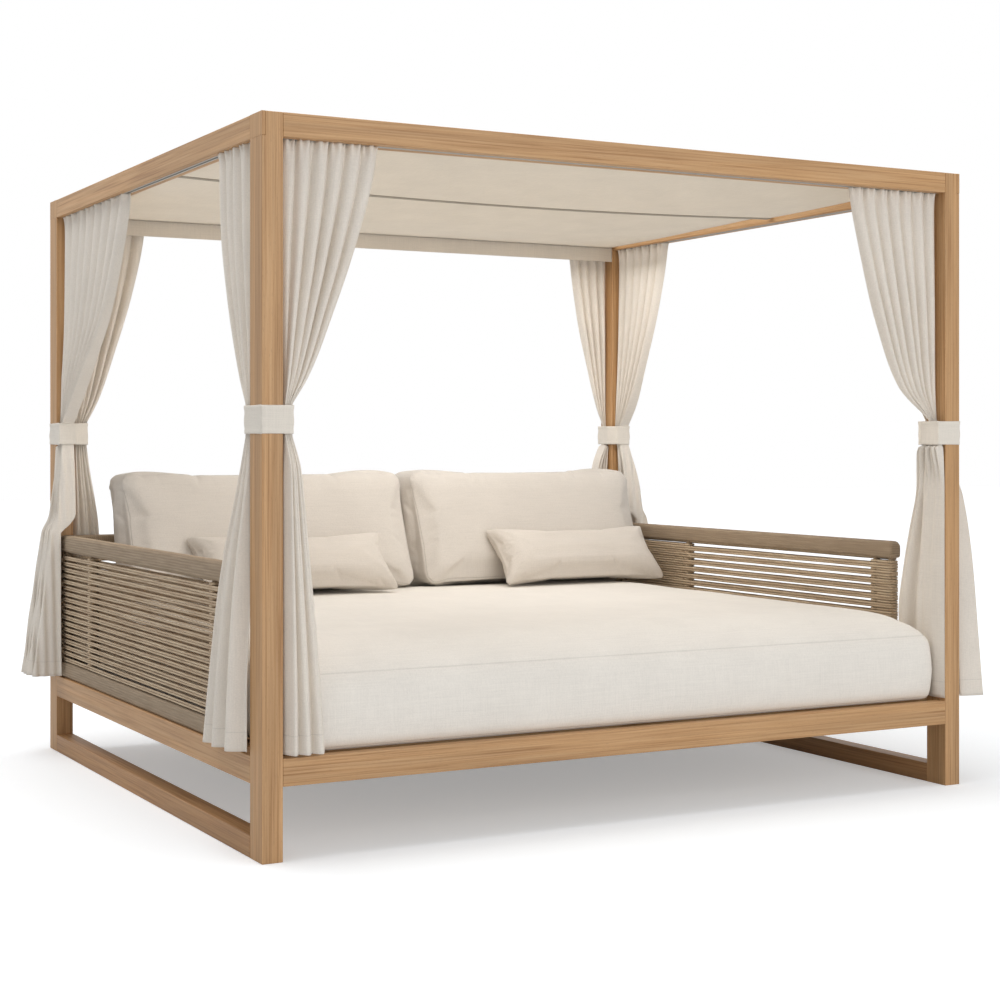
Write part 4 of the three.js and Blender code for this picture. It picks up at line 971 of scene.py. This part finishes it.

# Tie bands
# A doubled strip of the curtain linen, coloured a little darker as painted shade, goes round each
# post and its two curtains and closes on itself. Its long edges are turned in and stitched, and it
# creases where it turns a corner.
# Painted shade: the curtain linen in a darker colour
band_painted_shade_linen = linen("band_painted_shade_linen", "#e9e1d5", 2.6, strength=0.3)
band_cut_wide, band_thick, ring_points = 0.078, 0.0016, 220
sunk, hem_thick, hem_from, hem_to, edge_slack = 0.0022, 0.0008, 0.002, 0.011, 0.002
crease_deep, pucker_fine, edge_wave = 0.0012, 0.0006, 0.0012
for post in ("front_left", "front_right", "back_left", "back_right"):
    name = f"tie_band_{post}"
    low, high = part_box(name)
    loop = points_of(nodes[name])
    loop = loop[loop[:, 2] > high[2] - 0.001][:, :2]
    middle = loop.mean(0)
    # The outer outline: the corner points of the hull, in order round the band
    outline, here = [], int(loop[:, 0].argmin())
    while True:
        outline.append(here)
        ahead = (here + 1) % len(loop)
        for k in range(len(loop)):
            a, b = loop[ahead] - loop[here], loop[k] - loop[here]
            turn = a[0] * b[1] - a[1] * b[0]
            if turn < -1e-10 or (abs(turn) <= 1e-10 and b @ b > a @ a):
                ahead = k
        here = ahead
        if here == outline[0] or len(outline) > len(loop):
            break
    hull = loop[outline]
    closed = np.vstack([hull, hull[:1]])
    walked = np.concatenate([[0], np.cumsum(np.linalg.norm(np.diff(closed, axis=0), axis=1))])
    along = np.linspace(0, walked[-1], ring_points + 1)[:-1]
    ring = np.stack([np.interp(along, walked, closed[:, k]) for k in (0, 1)], axis=1)
    for _ in range(3):
        ring = (np.roll(ring, 1, 0) + 2 * ring + np.roll(ring, -1, 0)) / 4
    ahead = np.roll(ring, -1, 0) - np.roll(ring, 1, 0)
    outward = np.stack([ahead[:, 1], -ahead[:, 0]], axis=1) / np.linalg.norm(ahead, axis=1)[:, None]
    if ((ring - middle) * outward).sum() < 0:
        outward = -outward
    bend = np.linalg.norm(np.roll(outward, -3, 0) - np.roll(outward, 3, 0), axis=1)
    shift = np.random.default_rng(len(outline)).uniform(0, 6)
    rings = []
    for share in np.linspace(0, 1, 25):
        z = low[2] + (high[2] - low[2]) * share
        from_edge = min(share, 1 - share) * (high[2] - low[2])
        hem = hem_thick if hem_from < from_edge < hem_to else 0.0
        crease = crease_deep * bend * math.sin(9 * share + shift)
        crease = crease + pucker_fine * np.sin(along * 60 + 5 * share + shift)
        out = hem - sunk + crease * 0.6
        upwards = 1 if share > 0.5 else -1
        level = z + edge_wave * np.sin(along * 19 + shift) * upwards * abs(2 * share - 1)
        level = np.clip(level, low[2] - edge_slack, high[2] + edge_slack)
        rings.append(np.column_stack([ring + outward * out[:, None], level]))
    strip = skin(f"{name}_cloth", rings, capped=False)
    thickened(strip, band_thick)
    dressed(strip, "bedstead", "curtain_fabric", band_painted_shade_linen, name)

# Studio
# A plain pale floor and plain soft light: one large lamp overhead, one in front, and a weak one
# under the canopy. The white behind is only there for the camera and for reflections.
floor_half = 30
floor_edges = [[(-floor_half, y, 0), (floor_half, y, 0)] for y in (-floor_half, floor_half)]
floor = skin("studio_floor", floor_edges, round_closed=False)
pale, pale_shader = finish_named("pale_studio_floor", Roughness=0.95)
pale_shader.inputs["Base Color"].default_value = linear("#eaedf0")
seen = put(pale, "LightPath")
lift = put(pale, "Emission", {"Color": linear("#ffffff")})
spot = put(pale, "TexCoord").outputs["Object"]
away = put(pale, "VectorMath", {0: spot}, operation="LENGTH").outputs["Value"]
near, far, glow_near, glow_far = 1.6, 6.0, 0.31, 0.74
spread = {"Value": away, 1: near, 2: far, 3: glow_near, 4: glow_far}
glow = put(pale, "MapRange", spread, interpolation_type="SMOOTHSTEP").outputs[0]
amount = put(pale, "Math", {0: seen.outputs["Is Camera Ray"], 1: glow}, operation="MULTIPLY")
pale.node_tree.links.new(amount.outputs[0], lift.inputs["Strength"])
both = put(pale, "AddShader", {0: pale_shader.outputs[0], 1: lift.outputs[0]})
pale.node_tree.links.new(both.outputs[0], pale.node_tree.nodes["Material Output"].inputs["Surface"])
floor.data.materials.append(pale)

world = bpy.data.worlds.new("studio")
world.use_nodes = True
scene.world = world
shell = world.node_tree.nodes["Background"]
paths = put(world, "LightPath").outputs
shown = put(world, "Math", {0: paths["Is Camera Ray"], 1: paths["Is Glossy Ray"]}, operation="MAXIMUM")
shown = put(world, "Math", {0: shown.outputs[0], 1: paths["Is Transmission Ray"]}, operation="MAXIMUM")
fill_light, seen_white = 0.44, 1.0
level = put(world, "MapRange", {"Value": shown.outputs[0], 3: fill_light, 4: seen_white})
world.node_tree.links.new(level.outputs[0], shell.inputs["Strength"])
shell.inputs["Color"].default_value = linear("#ffffff")

for name, place, aim, size, power in (
    ("overhead_lamp", (-0.9, 0.3, 5.2), (0, 0, 0), 5.0, 235),
    ("front_lamp", (1.0, -7.5, 2.4), (0, 0, 0.8), 5.0, 136),
    ("bed_lamp", (0.3, 0.1, 1.86), (0.3, 0.1, 0.5), 1.6, 13),
):
    light = bpy.data.lights.new(name, "AREA")
    light.shape, light.size, light.energy = "SQUARE", size, power
    lamp = bpy.data.objects.new(name, light)
    lamp.location = place
    way = np.array(aim, float) - np.array(place, float)
    tilt = math.acos(-way[2] / np.linalg.norm(way))
    lamp.rotation_euler = (tilt, 0, math.atan2(way[1], way[0]) - math.pi / 2)
    lamp.visible_camera = False
    scene.collection.objects.link(lamp)
